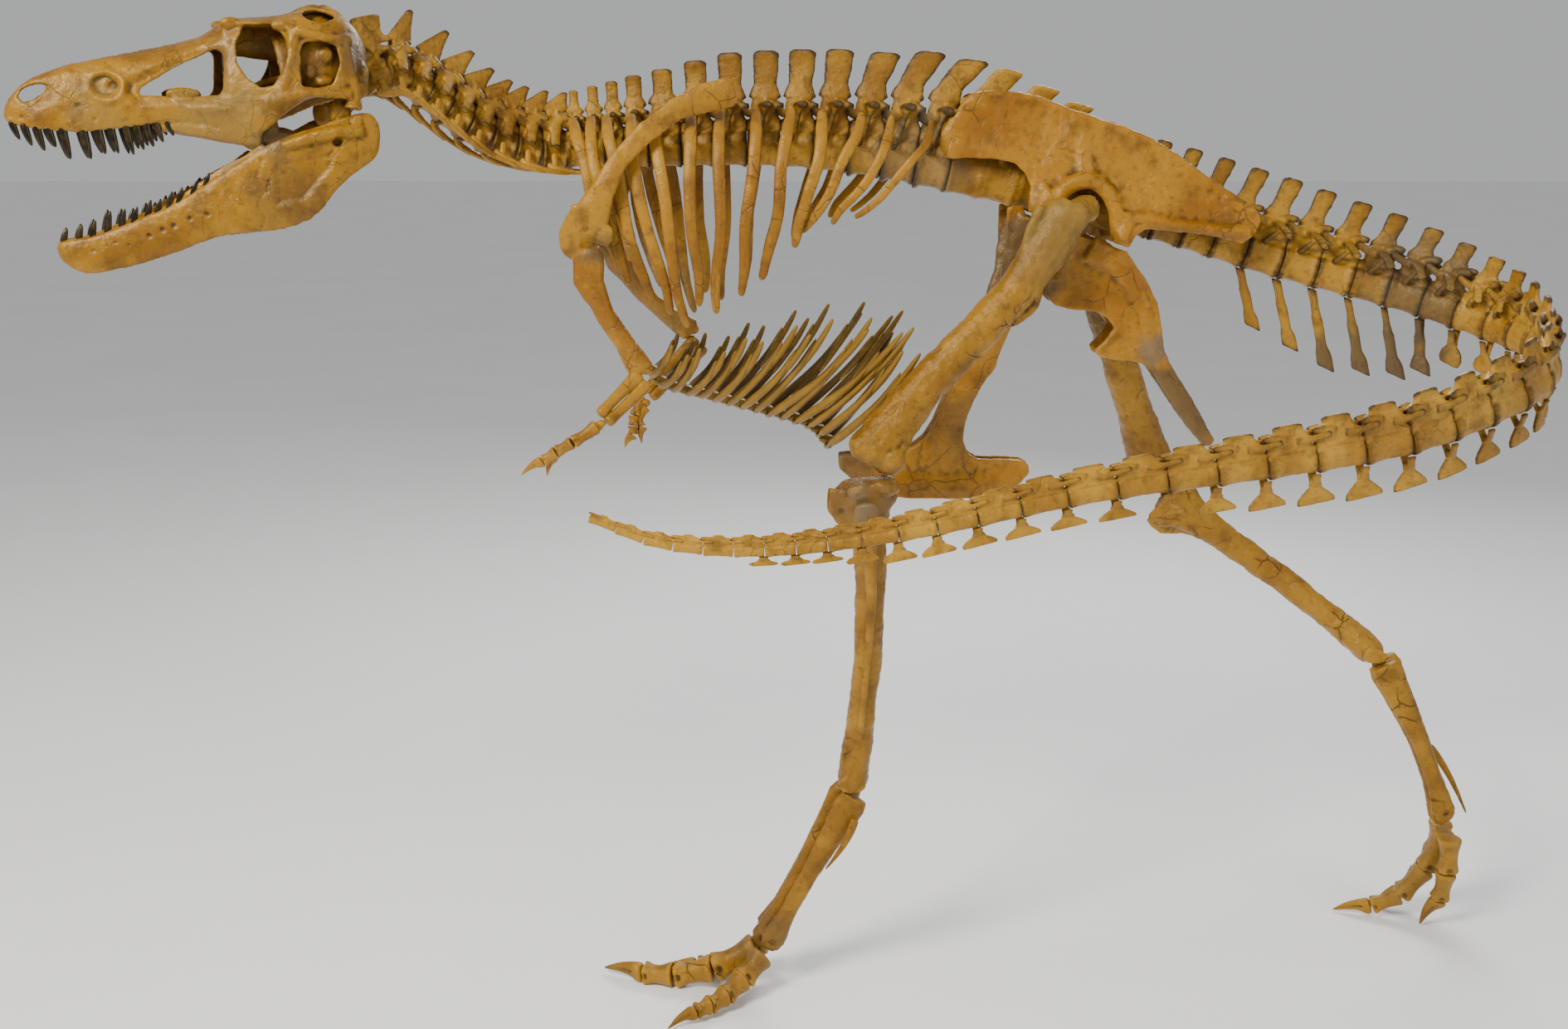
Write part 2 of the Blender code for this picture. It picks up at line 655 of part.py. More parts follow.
FEMUR_STOPS = ((0.0, 0.040, 0.028), (0.05, 0.062, 0.038), (0.17, 0.056, 0.036),
               (0.45, FEMUR_SHAFT, 0.040), (0.72, 0.047, 0.040), (0.86, 0.066, 0.050),
               (0.96, 0.074, 0.054), (1.0, 0.058, 0.042))
TIBIA_STOPS = ((0.0, 0.056, 0.040), (0.035, 0.084, 0.048), (0.085, 0.076, 0.042),
               (0.14, 0.040, 0.034), (0.5, TIBIA_SHAFT, 0.031), (0.85, 0.033, 0.038),
               (0.96, 0.040, 0.050), (1.0, 0.032, 0.046))
METATARSUS_STOPS = ((0.0, 0.034, 0.044), (0.06, 0.038, 0.047), (0.35, 0.027, 0.038),
                    (0.75, 0.028, 0.042), (0.92, 0.036, 0.052), (1.0, 0.028, 0.046))


def toe(museum, name, way, size, bones, claw):
    """Toe of a few phalanges and a claw, along waypoints from the foot to the tip."""
    line = Line(way)
    stops = []
    body = 1 - claw
    for k in range(bones):
        joint = size * (1 - 0.11 * k)
        start = body * k / bones
        stops.append((start, joint, joint * 0.84))
        stops.append((start + body * 0.5 / bones, joint * 0.74, joint * 0.66))
    joint = size * (1 - 0.11 * bones)
    stops += [(body, joint, joint * 0.80), (mix(body, 1.0, 0.45), joint * 0.70, joint * 0.5),
              (1.0, 0.004, 0.003)]
    bm = bmesh.new()
    limb(bm, line, stops, 6, Vector((0, 1, 0)))
    museum.add(name, bm)


LEFT_LEG = {
    "thigh": ((0.648, -0.165, 1.905), (0.518, -0.180, 1.703), (0.347, -0.210, 1.528),
              (0.204, -0.235, 1.328)),
    "shin": ((0.180, -0.233, 1.286), (0.200, -0.208, 1.065), (0.196, -0.185, 0.840),
             (0.165, -0.150, 0.530)),
    "arch": ((0.158, -0.149, 0.500), (0.074, -0.145, 0.356), (-0.052, -0.130, 0.106)),
    "splint": ((0.170, -0.207, 0.462), (0.148, -0.206, 0.400), (0.098, -0.202, 0.330)),
    "out": -1,
}
RIGHT_LEG = {
    "thigh": ((0.700, 0.165, 1.880), (0.800, 0.220, 1.600), (0.880, 0.290, 1.395),
              (0.960, 0.390, 1.180)),
    "shin": ((0.996, 0.402, 1.124), (1.172, 0.378, 1.010), (1.344, 0.335, 0.890),
             (1.541, 0.258, 0.728)),
    "arch": ((1.563, 0.250, 0.696), (1.662, 0.230, 0.490), (1.727, 0.212, 0.300)),
    "splint": ((1.706, 0.302, 0.470), (1.764, 0.303, 0.395), (1.822, 0.304, 0.300)),
    "out": 1,
}
SOCKET = Vector((0.694, 0.086, 1.893))  # hip socket of the right side
TOES = {
    "toe_left_3": (((-0.076, -0.132, 0.082), (-0.165, -0.145, 0.046), (-0.260, -0.142, 0.027),
                    (-0.350, -0.118, 0.020), (-0.440, -0.066, 0.006)), 0.035, 3, 0.25),
    "toe_left_4": (((-0.066, -0.184, 0.076), (-0.098, -0.232, 0.044), (-0.142, -0.282, 0.028),
                    (-0.205, -0.326, 0.020), (-0.270, -0.354, 0.005)), 0.029, 4, 0.24),
    "toe_left_2": (((-0.064, -0.074, 0.070), (-0.130, -0.076, 0.036), (-0.210, -0.072, 0.022),
                    (-0.300, -0.054, 0.005)), 0.028, 2, 0.32),
    "toe_right_2": (((1.728, 0.160, 0.268), (1.728, 0.166, 0.175), (1.722, 0.178, 0.103),
                     (1.706, 0.194, 0.050), (1.682, 0.210, 0.004)), 0.028, 2, 0.34),
    "toe_right_3": (((1.734, 0.216, 0.264), (1.718, 0.230, 0.200), (1.690, 0.243, 0.140),
                     (1.642, 0.257, 0.086), (1.590, 0.270, 0.044), (1.478, 0.304, 0.005)),
                    0.030, 3, 0.23),
    "toe_right_4": (((1.744, 0.272, 0.268), (1.740, 0.290, 0.190), (1.706, 0.306, 0.110),
                     (1.660, 0.322, 0.050), (1.600, 0.340, 0.005)), 0.028, 3, 0.25),
}


def make_leg(museum, side, leg):
    out = Vector((0, leg["out"], 0))
    thigh = Line(leg["thigh"])
    bm = bmesh.new()
    faces = limb(bm, thigh, FEMUR_STOPS, 8, out)
    inward = face_of(faces[1], thigh.at(0.1 * thigh.length), -out)
    socket = Vector((SOCKET.x, SOCKET.y * leg["out"], SOCKET.z))
    pull(bm, inward, [(socket, Vector((0.0, 0.0, 0.026)), Vector((0.026, 0, 0)))])
    museum.add(f"femur_{side}", bm)

    shin = Line(leg["shin"])
    bm = bmesh.new()
    limb(bm, shin, TIBIA_STOPS, 8, out)
    museum.add(f"tibia_{side}", bm)
    beside = out * 0.062
    narrow = out * 0.046
    fibula = Line([shin.at(0.04) + beside, shin.at(0.30) + narrow, shin.at(0.62) + narrow])
    bm = bmesh.new()
    limb(bm, fibula, ((0.0, 0.030, 0.010), (0.15, 0.020, 0.010), (0.5, 0.009, 0.008),
                      (1.0, 0.006, 0.005)), 6, out)
    museum.add(f"fibula_{side}", bm)

    for name, stops, sides in (("arch", METATARSUS_STOPS, 8),
                               ("splint", ((0, 0.012, 0.006), (0.4, 0.009, 0.006),
                                           (1, 0.003, 0.003)), 5)):
        bm = bmesh.new()
        limb(bm, Line(leg[name]), stops, sides, out)
        museum.add(f"metatarsus_{side}" if name == "arch" else f"splint_{side}", bm)


def make_legs(museum):
    make_leg(museum, "left", LEFT_LEG)
    make_leg(museum, "right", RIGHT_LEG)
    for name, (way, size, bones, claw) in TOES.items():
        toe(museum, name, way, size, bones, claw)


# ---- shoulders, arms and hands ----
SHOULDER = ((-0.478, 0.178, 1.785), (-0.455, 0.202, 1.835), (-0.415, 0.219, 1.900),
            (-0.385, 0.224, 1.970), (-0.325, 0.206, 2.045), (-0.270, 0.186, 2.085),
            (-0.215, 0.168, 2.124), (-0.108, 0.150, 2.152))
SHOULDER_STOPS = ((0.0, 0.030, 0.010), (0.08, 0.056, 0.014), (0.22, 0.046, 0.015),
                  (0.34, 0.030, 0.012), (0.55, 0.027, 0.009), (0.75, 0.029, 0.008),
                  (0.90, 0.036, 0.007), (1.0, 0.026, 0.005))
HUMERUS_STOPS = ((0.0, 0.022, 0.014), (0.08, 0.034, 0.017), (0.28, 0.034, 0.016),
                 (0.50, 0.020, 0.014), (0.92, 0.028, 0.018), (1.0, 0.018, 0.012))
FOREARM_STOPS = ((0.0, 0.012, 0.009), (0.15, 0.014, 0.010), (0.5, 0.008, 0.008),
                 (1.0, 0.011, 0.009))
HAND_STOPS = ((0.0, 0.012, 0.012), (0.10, 0.016, 0.015), (0.30, 0.010, 0.013),
              (0.45, 0.014, 0.014), (0.62, 0.008, 0.009), (0.72, 0.011, 0.010),
              (0.85, 0.010, 0.006), (1.0, 0.003, 0.002))
ARMS = {
    "left": {
        "humerus": ((-0.434, -0.240, 1.785), (-0.418, -0.243, 1.702), (-0.372, -0.247, 1.628),
                    (-0.318, -0.252, 1.545)),
        "elbow": (-0.318, -0.262, 1.518), "wrist": (-0.396, -0.330, 1.450),
        "hand": ((-0.408, -0.345, 1.438), (-0.449, -0.360, 1.422), (-0.490, -0.363, 1.398),
                 (-0.538, -0.360, 1.356), (-0.576, -0.356, 1.326)),
        "finger": ((-0.508, -0.352, 1.362), (-0.524, -0.346, 1.318)),
    },
    "right": {
        "humerus": ((-0.430, 0.240, 1.780), (-0.380, 0.243, 1.705), (-0.310, 0.247, 1.630),
                    (-0.228, 0.252, 1.570)),
        "elbow": (-0.216, 0.252, 1.538), "wrist": (-0.338, 0.185, 1.420),
        "hand": ((-0.346, 0.178, 1.408), (-0.366, 0.165, 1.385), (-0.372, 0.155, 1.355),
                 (-0.374, 0.150, 1.325), (-0.394, 0.146, 1.296)),
        "finger": ((-0.350, 0.160, 1.345), (-0.352, 0.156, 1.304)),
    },
}


def make_arms(museum):
    for side, arm in ARMS.items():
        hand_sign = -1 if side == "left" else 1
        out = Vector((0, hand_sign, 0))
        shoulder = [(x, y * hand_sign, z) for x, y, z in SHOULDER]
        bm = bmesh.new()
        limb(bm, Line(shoulder), SHOULDER_STOPS, 6, out)
        museum.add(f"scapula_{side}", bm)
        bm = bmesh.new()
        limb(bm, Line(arm["humerus"]), HUMERUS_STOPS, 6, out)
        museum.add(f"humerus_{side}", bm)
        elbow, wrist = Vector(arm["elbow"]), Vector(arm["wrist"])
        apart = (wrist - elbow).cross(out).normalized() * 0.0135
        for name, offset in (("radius", -apart), ("ulna", apart)):
            bm = bmesh.new()
            path = [elbow + offset, mix(elbow, wrist, 0.5) + offset * 1.15, wrist + offset * 0.9]
            limb(bm, Line(path), FOREARM_STOPS, 5, out)
            museum.add(f"{name}_{side}", bm)
        bm = bmesh.new()
        palm = Line(arm["hand"])
        faces = limb(bm, palm, HAND_STOPS, 6, out)
        palm_middle, tangent, _, _ = palm.frame(0.38 * palm.length)
        knuckle, tip = (Vector(p) for p in arm["finger"])
        steps = []
        for point, path, size in ((knuckle, knuckle - palm_middle, 0.0090),
                                  (mix(knuckle, tip, 0.5), tip - knuckle, 0.0065),
                                  (tip, tip - knuckle, 0.0020)):
            along = Vector((path.z, 0, -path.x)).normalized()
            steps.append((point, along * size, out * size * 0.8))
        under = Vector((-tangent.z, 0, tangent.x)).normalized()
        pull(bm, face_of(faces[2], palm_middle, under), steps)
        museum.add(f"hand_{side}", bm)


# ---- belly ribs: rods that rise from an interlocked seam under the belly ----
BELLY_SEAM = ((-0.324, 0, 1.520), (-0.285, 0, 1.478), (-0.168, 0, 1.446), (0.016, 0, 1.398),
              (0.062, 0, 1.381), (0.092, 0, 1.356), (0.112, 0, 1.326))
BELLY_ROWS = 14


def make_belly_ribs(museum):
    seam = Line(BELLY_SEAM)
    pitch = seam.length / BELLY_ROWS
    for side, side_sign in (("left", 1), ("right", -1)):
        bm = bmesh.new()
        rings = []
        for k in range(2 * BELLY_ROWS):
            centre, _, lateral, up = seam.frame(k * pitch / 2)
            out = lateral * side_sign
            flat = out * (GAP / 2)
            rings.append([centre + flat + up * 0.010, centre + out * 0.020,
                          centre + flat - up * 0.010])
        rows = loft(bm, rings)
        for k in range(BELLY_ROWS):
            centre, tangent, lateral, _ = seam.frame((k + 0.25) * pitch)
            out = lateral * side_sign
            share = math.sqrt(k / (BELLY_ROWS - 1))
            tip = centre + out * mix(0.13, 0.20, share) + Vector((
                mix(0.06, 0.19, share), 0, mix(0.10, 0.25, share)))
            middle = mix(centre, tip, 0.5) + out * 0.035 - Vector((0, 0, 0.03))
            path = (tip - centre).normalized()
            fore = (tangent - path * path.dot(tangent)).normalized()
            through = path.cross(fore)
            pull(bm, rows[2 * k][0], [
                (middle, fore * 0.007, through * 0.006), (tip, fore * 0.003, through * 0.003)])
        museum.add(f"belly_ribs_{side}", bm, shade="dark_bone")


def main():
    clear_scene()
    museum = Museum()
    line = Line(SPINE_WAY)
    s = make_neck(museum, line)
    s = make_rib_cages(museum, line, s)
    s = make_sacrum(museum, line, s)
    make_tail(museum, line, s)
    make_skull(museum)
    make_jaws(museum)
    make_pelvis(museum)
    make_legs(museum)
    make_arms(museum)
    make_belly_ribs(museum)


main()
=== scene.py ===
"""Life-size striding skeleton of a lightly built tyrannosauroid, dressed for a studio picture.

Metres, +Z up. The animal faces -X and its left side faces -Y. The tables are set out from
the hips' own zero; every finished piece is moved by SHIFT, which centres the skeleton.
"""
from __future__ import annotations

import json
import logging
import math
from collections.abc import Callable, Sequence
from dataclasses import dataclass, field
from enum import Enum

import bmesh
import bpy
import numpy as np
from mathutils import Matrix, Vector

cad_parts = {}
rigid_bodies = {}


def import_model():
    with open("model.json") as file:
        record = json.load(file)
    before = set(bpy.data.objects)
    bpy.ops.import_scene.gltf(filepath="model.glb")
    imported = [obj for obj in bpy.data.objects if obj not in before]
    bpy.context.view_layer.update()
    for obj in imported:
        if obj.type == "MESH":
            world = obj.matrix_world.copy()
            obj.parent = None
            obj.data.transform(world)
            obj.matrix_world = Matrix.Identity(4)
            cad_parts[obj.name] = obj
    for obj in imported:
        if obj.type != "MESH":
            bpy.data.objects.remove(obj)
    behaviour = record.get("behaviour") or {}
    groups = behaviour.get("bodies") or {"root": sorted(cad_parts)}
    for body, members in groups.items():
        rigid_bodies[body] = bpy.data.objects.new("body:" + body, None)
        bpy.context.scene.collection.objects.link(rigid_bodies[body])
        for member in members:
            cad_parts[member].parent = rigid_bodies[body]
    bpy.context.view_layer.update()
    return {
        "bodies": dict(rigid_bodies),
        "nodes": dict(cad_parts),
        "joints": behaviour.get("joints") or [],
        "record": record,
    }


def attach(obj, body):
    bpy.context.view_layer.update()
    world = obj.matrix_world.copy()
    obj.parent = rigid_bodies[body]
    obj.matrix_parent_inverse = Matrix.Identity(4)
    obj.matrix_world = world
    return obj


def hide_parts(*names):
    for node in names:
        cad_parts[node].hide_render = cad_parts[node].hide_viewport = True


log = logging.getLogger("skeleton")

SHIFT = Vector((-0.12226, 0.29673, 0.0))
ACROSS = Vector((0.0, 1.0, 0.0))
UP = Vector((0.0, 0.0, 1.0))
AHEAD = Vector((1.0, 0.0, 0.0))
CURVE_STEPS = 24
Item = bpy.types.Object
Socket = bpy.types.NodeSocket
Triple = tuple[float, float, float]
Colour = Triple
Points = Sequence[Sequence[float]]
Stops = tuple[tuple[float, ...], ...]
Patterns = tuple[Item, Item]
Frame = tuple[Vector, Vector, Vector, Vector]
Fit = Callable[[np.ndarray], np.ndarray]
Placer = Callable[[Sequence[float], float], Vector]


class Side(Enum):
    """The two sides of the animal; the value is the sign of Y."""

    LEFT = -1
    RIGHT = 1

    @property
    def label(self) -> str:
        """Side's name as the pieces are named."""
        return self.name.lower()


# ---- plain geometry ----
def mix(a: float, b: float, t: float) -> float:
    """Value or vector at share t between a and b."""
    return a + (b - a) * t


def table(stops: Stops, t: float) -> list[float]:
    """Straight-line value at t of rows of (t, value, value, ...).

    Args:
        stops: Rows in rising order of their first number.
        t: Where to read the rows.

    Returns:
        The values at t; past either end, those of the end row.
    """
    for low, high in zip(stops, stops[1:]):
        if t <= high[0]:
            share = max(0.0, (t - low[0]) / (high[0] - low[0]))
            return [mix(a, b, share) for a, b in zip(low[1:], high[1:])]
    return list(stops[-1][1:])


def both(point: Sequence[float], sign: float) -> Vector:
    """Point with its Y turned to one side of the animal."""
    return Vector((point[0], point[1] * sign, point[2]))


class Way:
    """Smooth curve through waypoints, measured by its length."""

    def __init__(self, points: Points) -> None:
        """Trace the curve.

        Args:
            points: Waypoints, two or more.
        """
        way = [Vector(p) for p in points]
        ends = [way[0] * 2 - way[1]] + way + [way[-1] * 2 - way[-2]]
        self.points = [way[0]]
        self.lengths = [0.0]
        for a, b, c, d in zip(ends, ends[1:], ends[2:], ends[3:]):
            for k in range(1, CURVE_STEPS + 1):
                t = k / CURVE_STEPS
                point = 0.5 * (2 * b + (c - a) * t + (2 * a - 5 * b + 4 * c - d) * t ** 2
                               + (3 * b - a - 3 * c + d) * t ** 3)
                self.lengths.append(self.lengths[-1] + (point - self.points[-1]).length)
                self.points.append(point)
        self.length = self.lengths[-1]

    def at(self, s: float) -> Vector:
        """Find a point of the curve.

        Args:
            s: Length along it; past either end it runs on straight.

        Returns:
            The point.
        """
        k = int(np.searchsorted(self.lengths, s))
        k = min(max(k, 1), len(self.points) - 1)
        span = self.lengths[k] - self.lengths[k - 1]
        return mix(self.points[k - 1], self.points[k], (s - self.lengths[k - 1]) / span)

    def frame(self, s: float) -> Frame:
        """Find the directions at a point of the curve.

        Args:
            s: Length along it.

        Returns:
            The point with its tangent, side and up vectors.
        """
        tangent = (self.at(s + 0.02) - self.at(s - 0.02)).normalized()
        side = tangent.cross(UP).normalized()
        return self.at(s), tangent, side, side.cross(tangent).normalized()


def oval(centre: Vector, half_a: Vector, half_b: Vector, sides: int, square: float = 1.0
         ) -> list[Vector]:
    """Ring of points round a centre.

    Args:
        centre: Middle of the ring.
        half_a: One half axis.
        half_b: The other half axis.
        sides: Number of points.
        square: 1 for an oval, less for a squarer ring.

    Returns:
        The points, the first between the two axes.
    """
    ring = []
    for k in range(sides):
        angle = 2 * math.pi * (k + 0.5) / sides
        a, b = math.cos(angle), math.sin(angle)
        ring.append(centre + half_a * math.copysign(abs(a) ** square, a)
                    + half_b * math.copysign(abs(b) ** square, b))
    return ring


# ---- modelling ----
def tube(rings: Sequence[Sequence[Vector]]) -> Item:
    """Closed tube: a filled circle pulled out ring by ring.

    Args:
        rings: Rings of points, each with as many points as the others.

    Returns:
        The new object, at the origin.
    """
    bpy.ops.mesh.primitive_circle_add(
        vertices=len(rings[0]), radius=0.01, fill_type="NGON", location=(0, 0, 0))
    item = bpy.context.object
    bpy.ops.object.mode_set(mode="EDIT")
    shape = bmesh.from_edit_mesh(item.data)
    corner = shape.verts.layers.int.new("corner")
    for k, (vert, point) in enumerate(zip(shape.verts, rings[0])):
        vert[corner] = k
        vert.co = point
    for ring in rings[1:]:
        bpy.ops.mesh.extrude_region_move()
        shape = bmesh.from_edit_mesh(item.data)
        corner = shape.verts.layers.int["corner"]
        for vert in shape.verts:
            if vert.select:
                vert.co = ring[vert[corner]]
    bpy.ops.mesh.select_all(action="SELECT")
    bpy.ops.mesh.normals_make_consistent(inside=False)
    bpy.ops.object.mode_set(mode="OBJECT")
    return item


def rod(way: Way, stops: Stops, lateral: Vector, sides: int = 10, square: float = 1.0) -> Item:
    """Bone shaft along a curve.

    Args:
        way: Middle line of the shaft.
        stops: Rows of (share of the length, half breadth, half depth along lateral).
        lateral: Direction in which the depth lies.
        sides: Number of sides.
        square: Squareness of the section, as in oval.

    Returns:
        The closed shaft.
    """
    rings = []
    for share, breadth, depth in stops:
        s = share * way.length
        tangent = (way.at(s + 0.004) - way.at(s - 0.004)).normalized()
        across = (lateral - tangent * tangent.dot(lateral)).normalized()
        rings.append(
            oval(way.at(s), tangent.cross(across) * breadth, across * depth, sides, square))
    return tube(rings)


def bar(points: Points, sizes: Sequence[tuple[float, float]],
        lateral: Vector, sides: int = 10, square: float = 1.0) -> Item:
    """Shaft through a few points.

    Args:
        points: Waypoints of its middle line.
        sizes: Half breadth and half depth at each of them.
        lateral: Direction in which the depth lies.
        sides: Number of sides.
        square: Squareness of the section, as in oval.

    Returns:
        The closed shaft.
    """
    way = Way(points)
    shares = [way.lengths[k * CURVE_STEPS] / way.length for k in range(len(points))]
    stops = []
    for k, (share, size) in enumerate(zip(shares, sizes)):
        if k:
            last = stops[-1]
            stops.append(tuple(mix(a, b, 0.5) for a, b in zip(last, (share, *size))))
        stops.append((share, *size))
    return rod(way, tuple(stops), lateral, sides, square)


def knob(centre: Sequence[float], size: Sequence[float]) -> Item:
    """Rounded lump.

    Args:
        centre: Its middle.
        size: Half sizes along X, Y and Z.

    Returns:
        The lump.
    """
    bpy.ops.mesh.primitive_ico_sphere_add(subdivisions=2, radius=1.0, location=(0, 0, 0))
    item = bpy.context.object
    bpy.ops.object.mode_set(mode="EDIT")
    bpy.ops.transform.resize(value=tuple(size))
    bpy.ops.transform.translate(value=tuple(centre))
    bpy.ops.object.mode_set(mode="OBJECT")
    return item


def slab(outline: Points, place: Placer, depths: Sequence[float]) -> Item:
    """Plate of one outline at several depths.

    Args:
        outline: Points round the plate.
        place: Puts an outline point at a depth into space.
        depths: Depths through the plate, in order.

    Returns:
        The closed plate.
    """
    return tube([[place(point, depth) for point in outline] for depth in depths])


def choose(items: Sequence[Item]) -> None:
    """Select some objects and no others.

    Args:
        items: The objects; the first becomes active.
    """
    bpy.ops.object.select_all(action="DESELECT")
    for item in items:
        item.select_set(True)
    bpy.context.view_layer.objects.active = items[0]


def joined(items: Sequence[Item]) -> Item:
    """Join objects.

    Args:
        items: Objects to join.

    Returns:
        All of them as one.
    """
    choose(items)
    if len(items) > 1:
        bpy.ops.object.join()
    return items[0]


def applied(item: Item, kind: str, **values: object) -> Item:
    """Add one modifier with its values set and apply it.

    Args:
        item: Object to change.
        kind: Blender's name for the modifier's type.
        values: Settings of the modifier.

    Returns:
        The same object.
    """
    choose([item])
    change = item.modifiers.new(kind.lower(), kind)
    for key, value in values.items():
        setattr(change, key, value)
    bpy.ops.object.modifier_apply(modifier=change.name)
    return item


def rounded(item: Item, levels: int = 1) -> Item:
    """Subdivide an object smoothly."""
    return applied(item, "SUBSURF", levels=levels, render_levels=levels)


def fused(items: Sequence[Item], voxel: float, smooth: int = 4) -> Item:
    """Grow several overlapping shapes into one bone.

    Args:
        items: Closed shapes that overlap.
        voxel: Size of the grid that merges them.
        smooth: Rounds of smoothing afterwards.

    Returns:
        One closed object.
    """
    item = joined(items)
    applied(item, "REMESH", mode="VOXEL", voxel_size=voxel)
    return applied(item, "SMOOTH", factor=0.5, iterations=smooth)


def lumpy(item: Item, size: float, height: float) -> Item:
    """Give a surface low, uneven relief.

    Args:
        item: Object to change.
        size: Distance from lump to lump.
        height: Rise from hollow to lump.

    Returns:
        The same object.
    """
    name = f"lumps {size:.3f}"
    clouds = bpy.data.textures.get(name) or bpy.data.textures.new(name, "CLOUDS")
    clouds.noise_scale = size
    clouds.noise_depth = 2
    return applied(
        item, "DISPLACE", texture=clouds, texture_coords="LOCAL", strength=height, mid_level=0.5)


def points_of(item: Item) -> np.ndarray:
    """Read the vertices of an object.

    Args:
        item: Object to read.

    Returns:
        A row of three numbers for each vertex.
    """
    flat = np.empty(len(item.data.vertices) * 3)
    item.data.vertices.foreach_get("co", flat)
    return flat.reshape(-1, 3)


def put_points(item: Item, points: np.ndarray) -> Item:
    """Move the vertices of an object.

    Args:
        item: Object to change.
        points: A row of three numbers for each vertex.

    Returns:
        The same object.
    """
    item.data.vertices.foreach_set("co", points.ravel())
    item.data.update()
    return item


def copied(item: Item, points: np.ndarray | None = None) -> Item:
    """Copy an object together with its mesh.

    Args:
        item: Object to copy.
        points: New places of its vertices, or None to keep them.

    Returns:
        The copy.
    """
    twin = item.copy()
    twin.data = item.data.copy()
    bpy.context.collection.objects.link(twin)
    return put_points(twin, points) if points is not None else twin


def outward(item: Item) -> Item:
    """Turn every face outwards.

    Args:
        item: Closed object to change.

    Returns:
        The same object.
    """
    choose([item])
    bpy.ops.object.mode_set(mode="EDIT")
    bpy.ops.mesh.select_all(action="SELECT")
    bpy.ops.mesh.normals_make_consistent(inside=False)
    bpy.ops.object.mode_set(mode="OBJECT")
    return item


def mirrored(item: Item) -> Item:
    """Copy on the other side of the animal's middle plane."""
    twin = copied(item, points_of(item) * (1, -1, 1))
    return outward(twin)


def discard(items: Sequence[Item]) -> None:
    """Remove objects and their meshes.

    Args:
        items: Patterns that have been copied.
    """
    for item in items:
        mesh = item.data
        bpy.data.objects.remove(item, do_unlink=True)
        bpy.data.meshes.remove(mesh)


def bell(distance: np.ndarray, radius: float) -> np.ndarray:
    """Smooth hill: 1 in the middle, 0 beyond the radius."""
    share = np.clip(1 - (distance / radius) ** 2, 0, 1)
    return share * share * (3 - 2 * share)


def edge_distance(points: np.ndarray, outline: Points) -> np.ndarray:
    """Distance of flat points from an outline, positive inside it.

    Args:
        points: Rows of two numbers.
        outline: Corners of the closed outline.

    Returns:
        One distance for each point.
    """
    corners = np.array(outline, float)
    inside = np.zeros(len(points), bool)
    nearest = np.full(len(points), np.inf)
    for a, b in zip(corners, np.roll(corners, -1, axis=0)):
        run = b - a
        share = np.clip(((points - a) @ run) / (run @ run), 0, 1)
        nearest = np.minimum(nearest, np.linalg.norm(points - a - share[:, None] * run, axis=1))
        rise = run[1] if abs(run[1]) > 1e-9 else 1e-9
        crosses = (a[1] > points[:, 1]) != (b[1] > points[:, 1])
        inside ^= crosses & (points[:, 0] < a[0] + run[0] * (points[:, 1] - a[1]) / rise)
    return np.where(inside, nearest, -nearest)


def crevices(mesh: bpy.types.Mesh, rounds: int = 12, reach: float = 0.004) -> None:
    """Store how hollow or how sharp the surface is at each vertex, as the value cavity, from which
    the bone finish paints shade into hollows and highlights onto edges.

    Args:
        mesh: Mesh that gets the value: 0 in a crevice, 0.5 on the flat, 1 on an edge.
        rounds: Rounds of averaging; more find wider hollows.
        reach: Depth of a hollow that counts as fully dark.
    """
    count = len(mesh.vertices)
    flat = np.empty(count * 3)
    mesh.vertices.foreach_get("co", flat)
    start = flat.reshape(-1, 3)
    normals = np.empty(count * 3)
    mesh.vertices.foreach_get("normal", normals)
    ends = np.empty(len(mesh.edges) * 2, np.int64)
    mesh.edges.foreach_get("vertices", ends)
    a, b = ends.reshape(-1, 2).T
    near = np.maximum(np.bincount(a, minlength=count) + np.bincount(b, minlength=count), 1)
    level = start.copy()
    for _ in range(rounds):
        mean = np.empty_like(level)
        for axis in range(3):
            mean[:, axis] = (np.bincount(a, level[b, axis], count)
                             + np.bincount(b, level[a, axis], count)) / near
        level = 0.5 * (level + mean)
    sink = ((level - start) * normals.reshape(-1, 3)).sum(axis=1)
    value = np.clip(0.5 - 0.5 * sink / reach, 0, 1)
    store = mesh.attributes.get("cavity") or mesh.attributes.new("cavity", "FLOAT", "POINT")
    store.data.foreach_set("value", value.astype(np.float32))


# ---- finishes ----
def socket(group: bpy.types.NodeTree, name: str, way: str, kind: str, value: object = None) -> None:
    """Add a named input or output to a node group.

    Args:
        group: Node group to add to.
        name: Name of the socket.
        way: "INPUT" or "OUTPUT".
        kind: "Float", "Color" or "Vector".
        value: Starting value of an input.
    """
    new = group.interface.new_socket(name=name, in_out=way, socket_type=f"NodeSocket{kind}")
    if value is not None:
        new.default_value = value


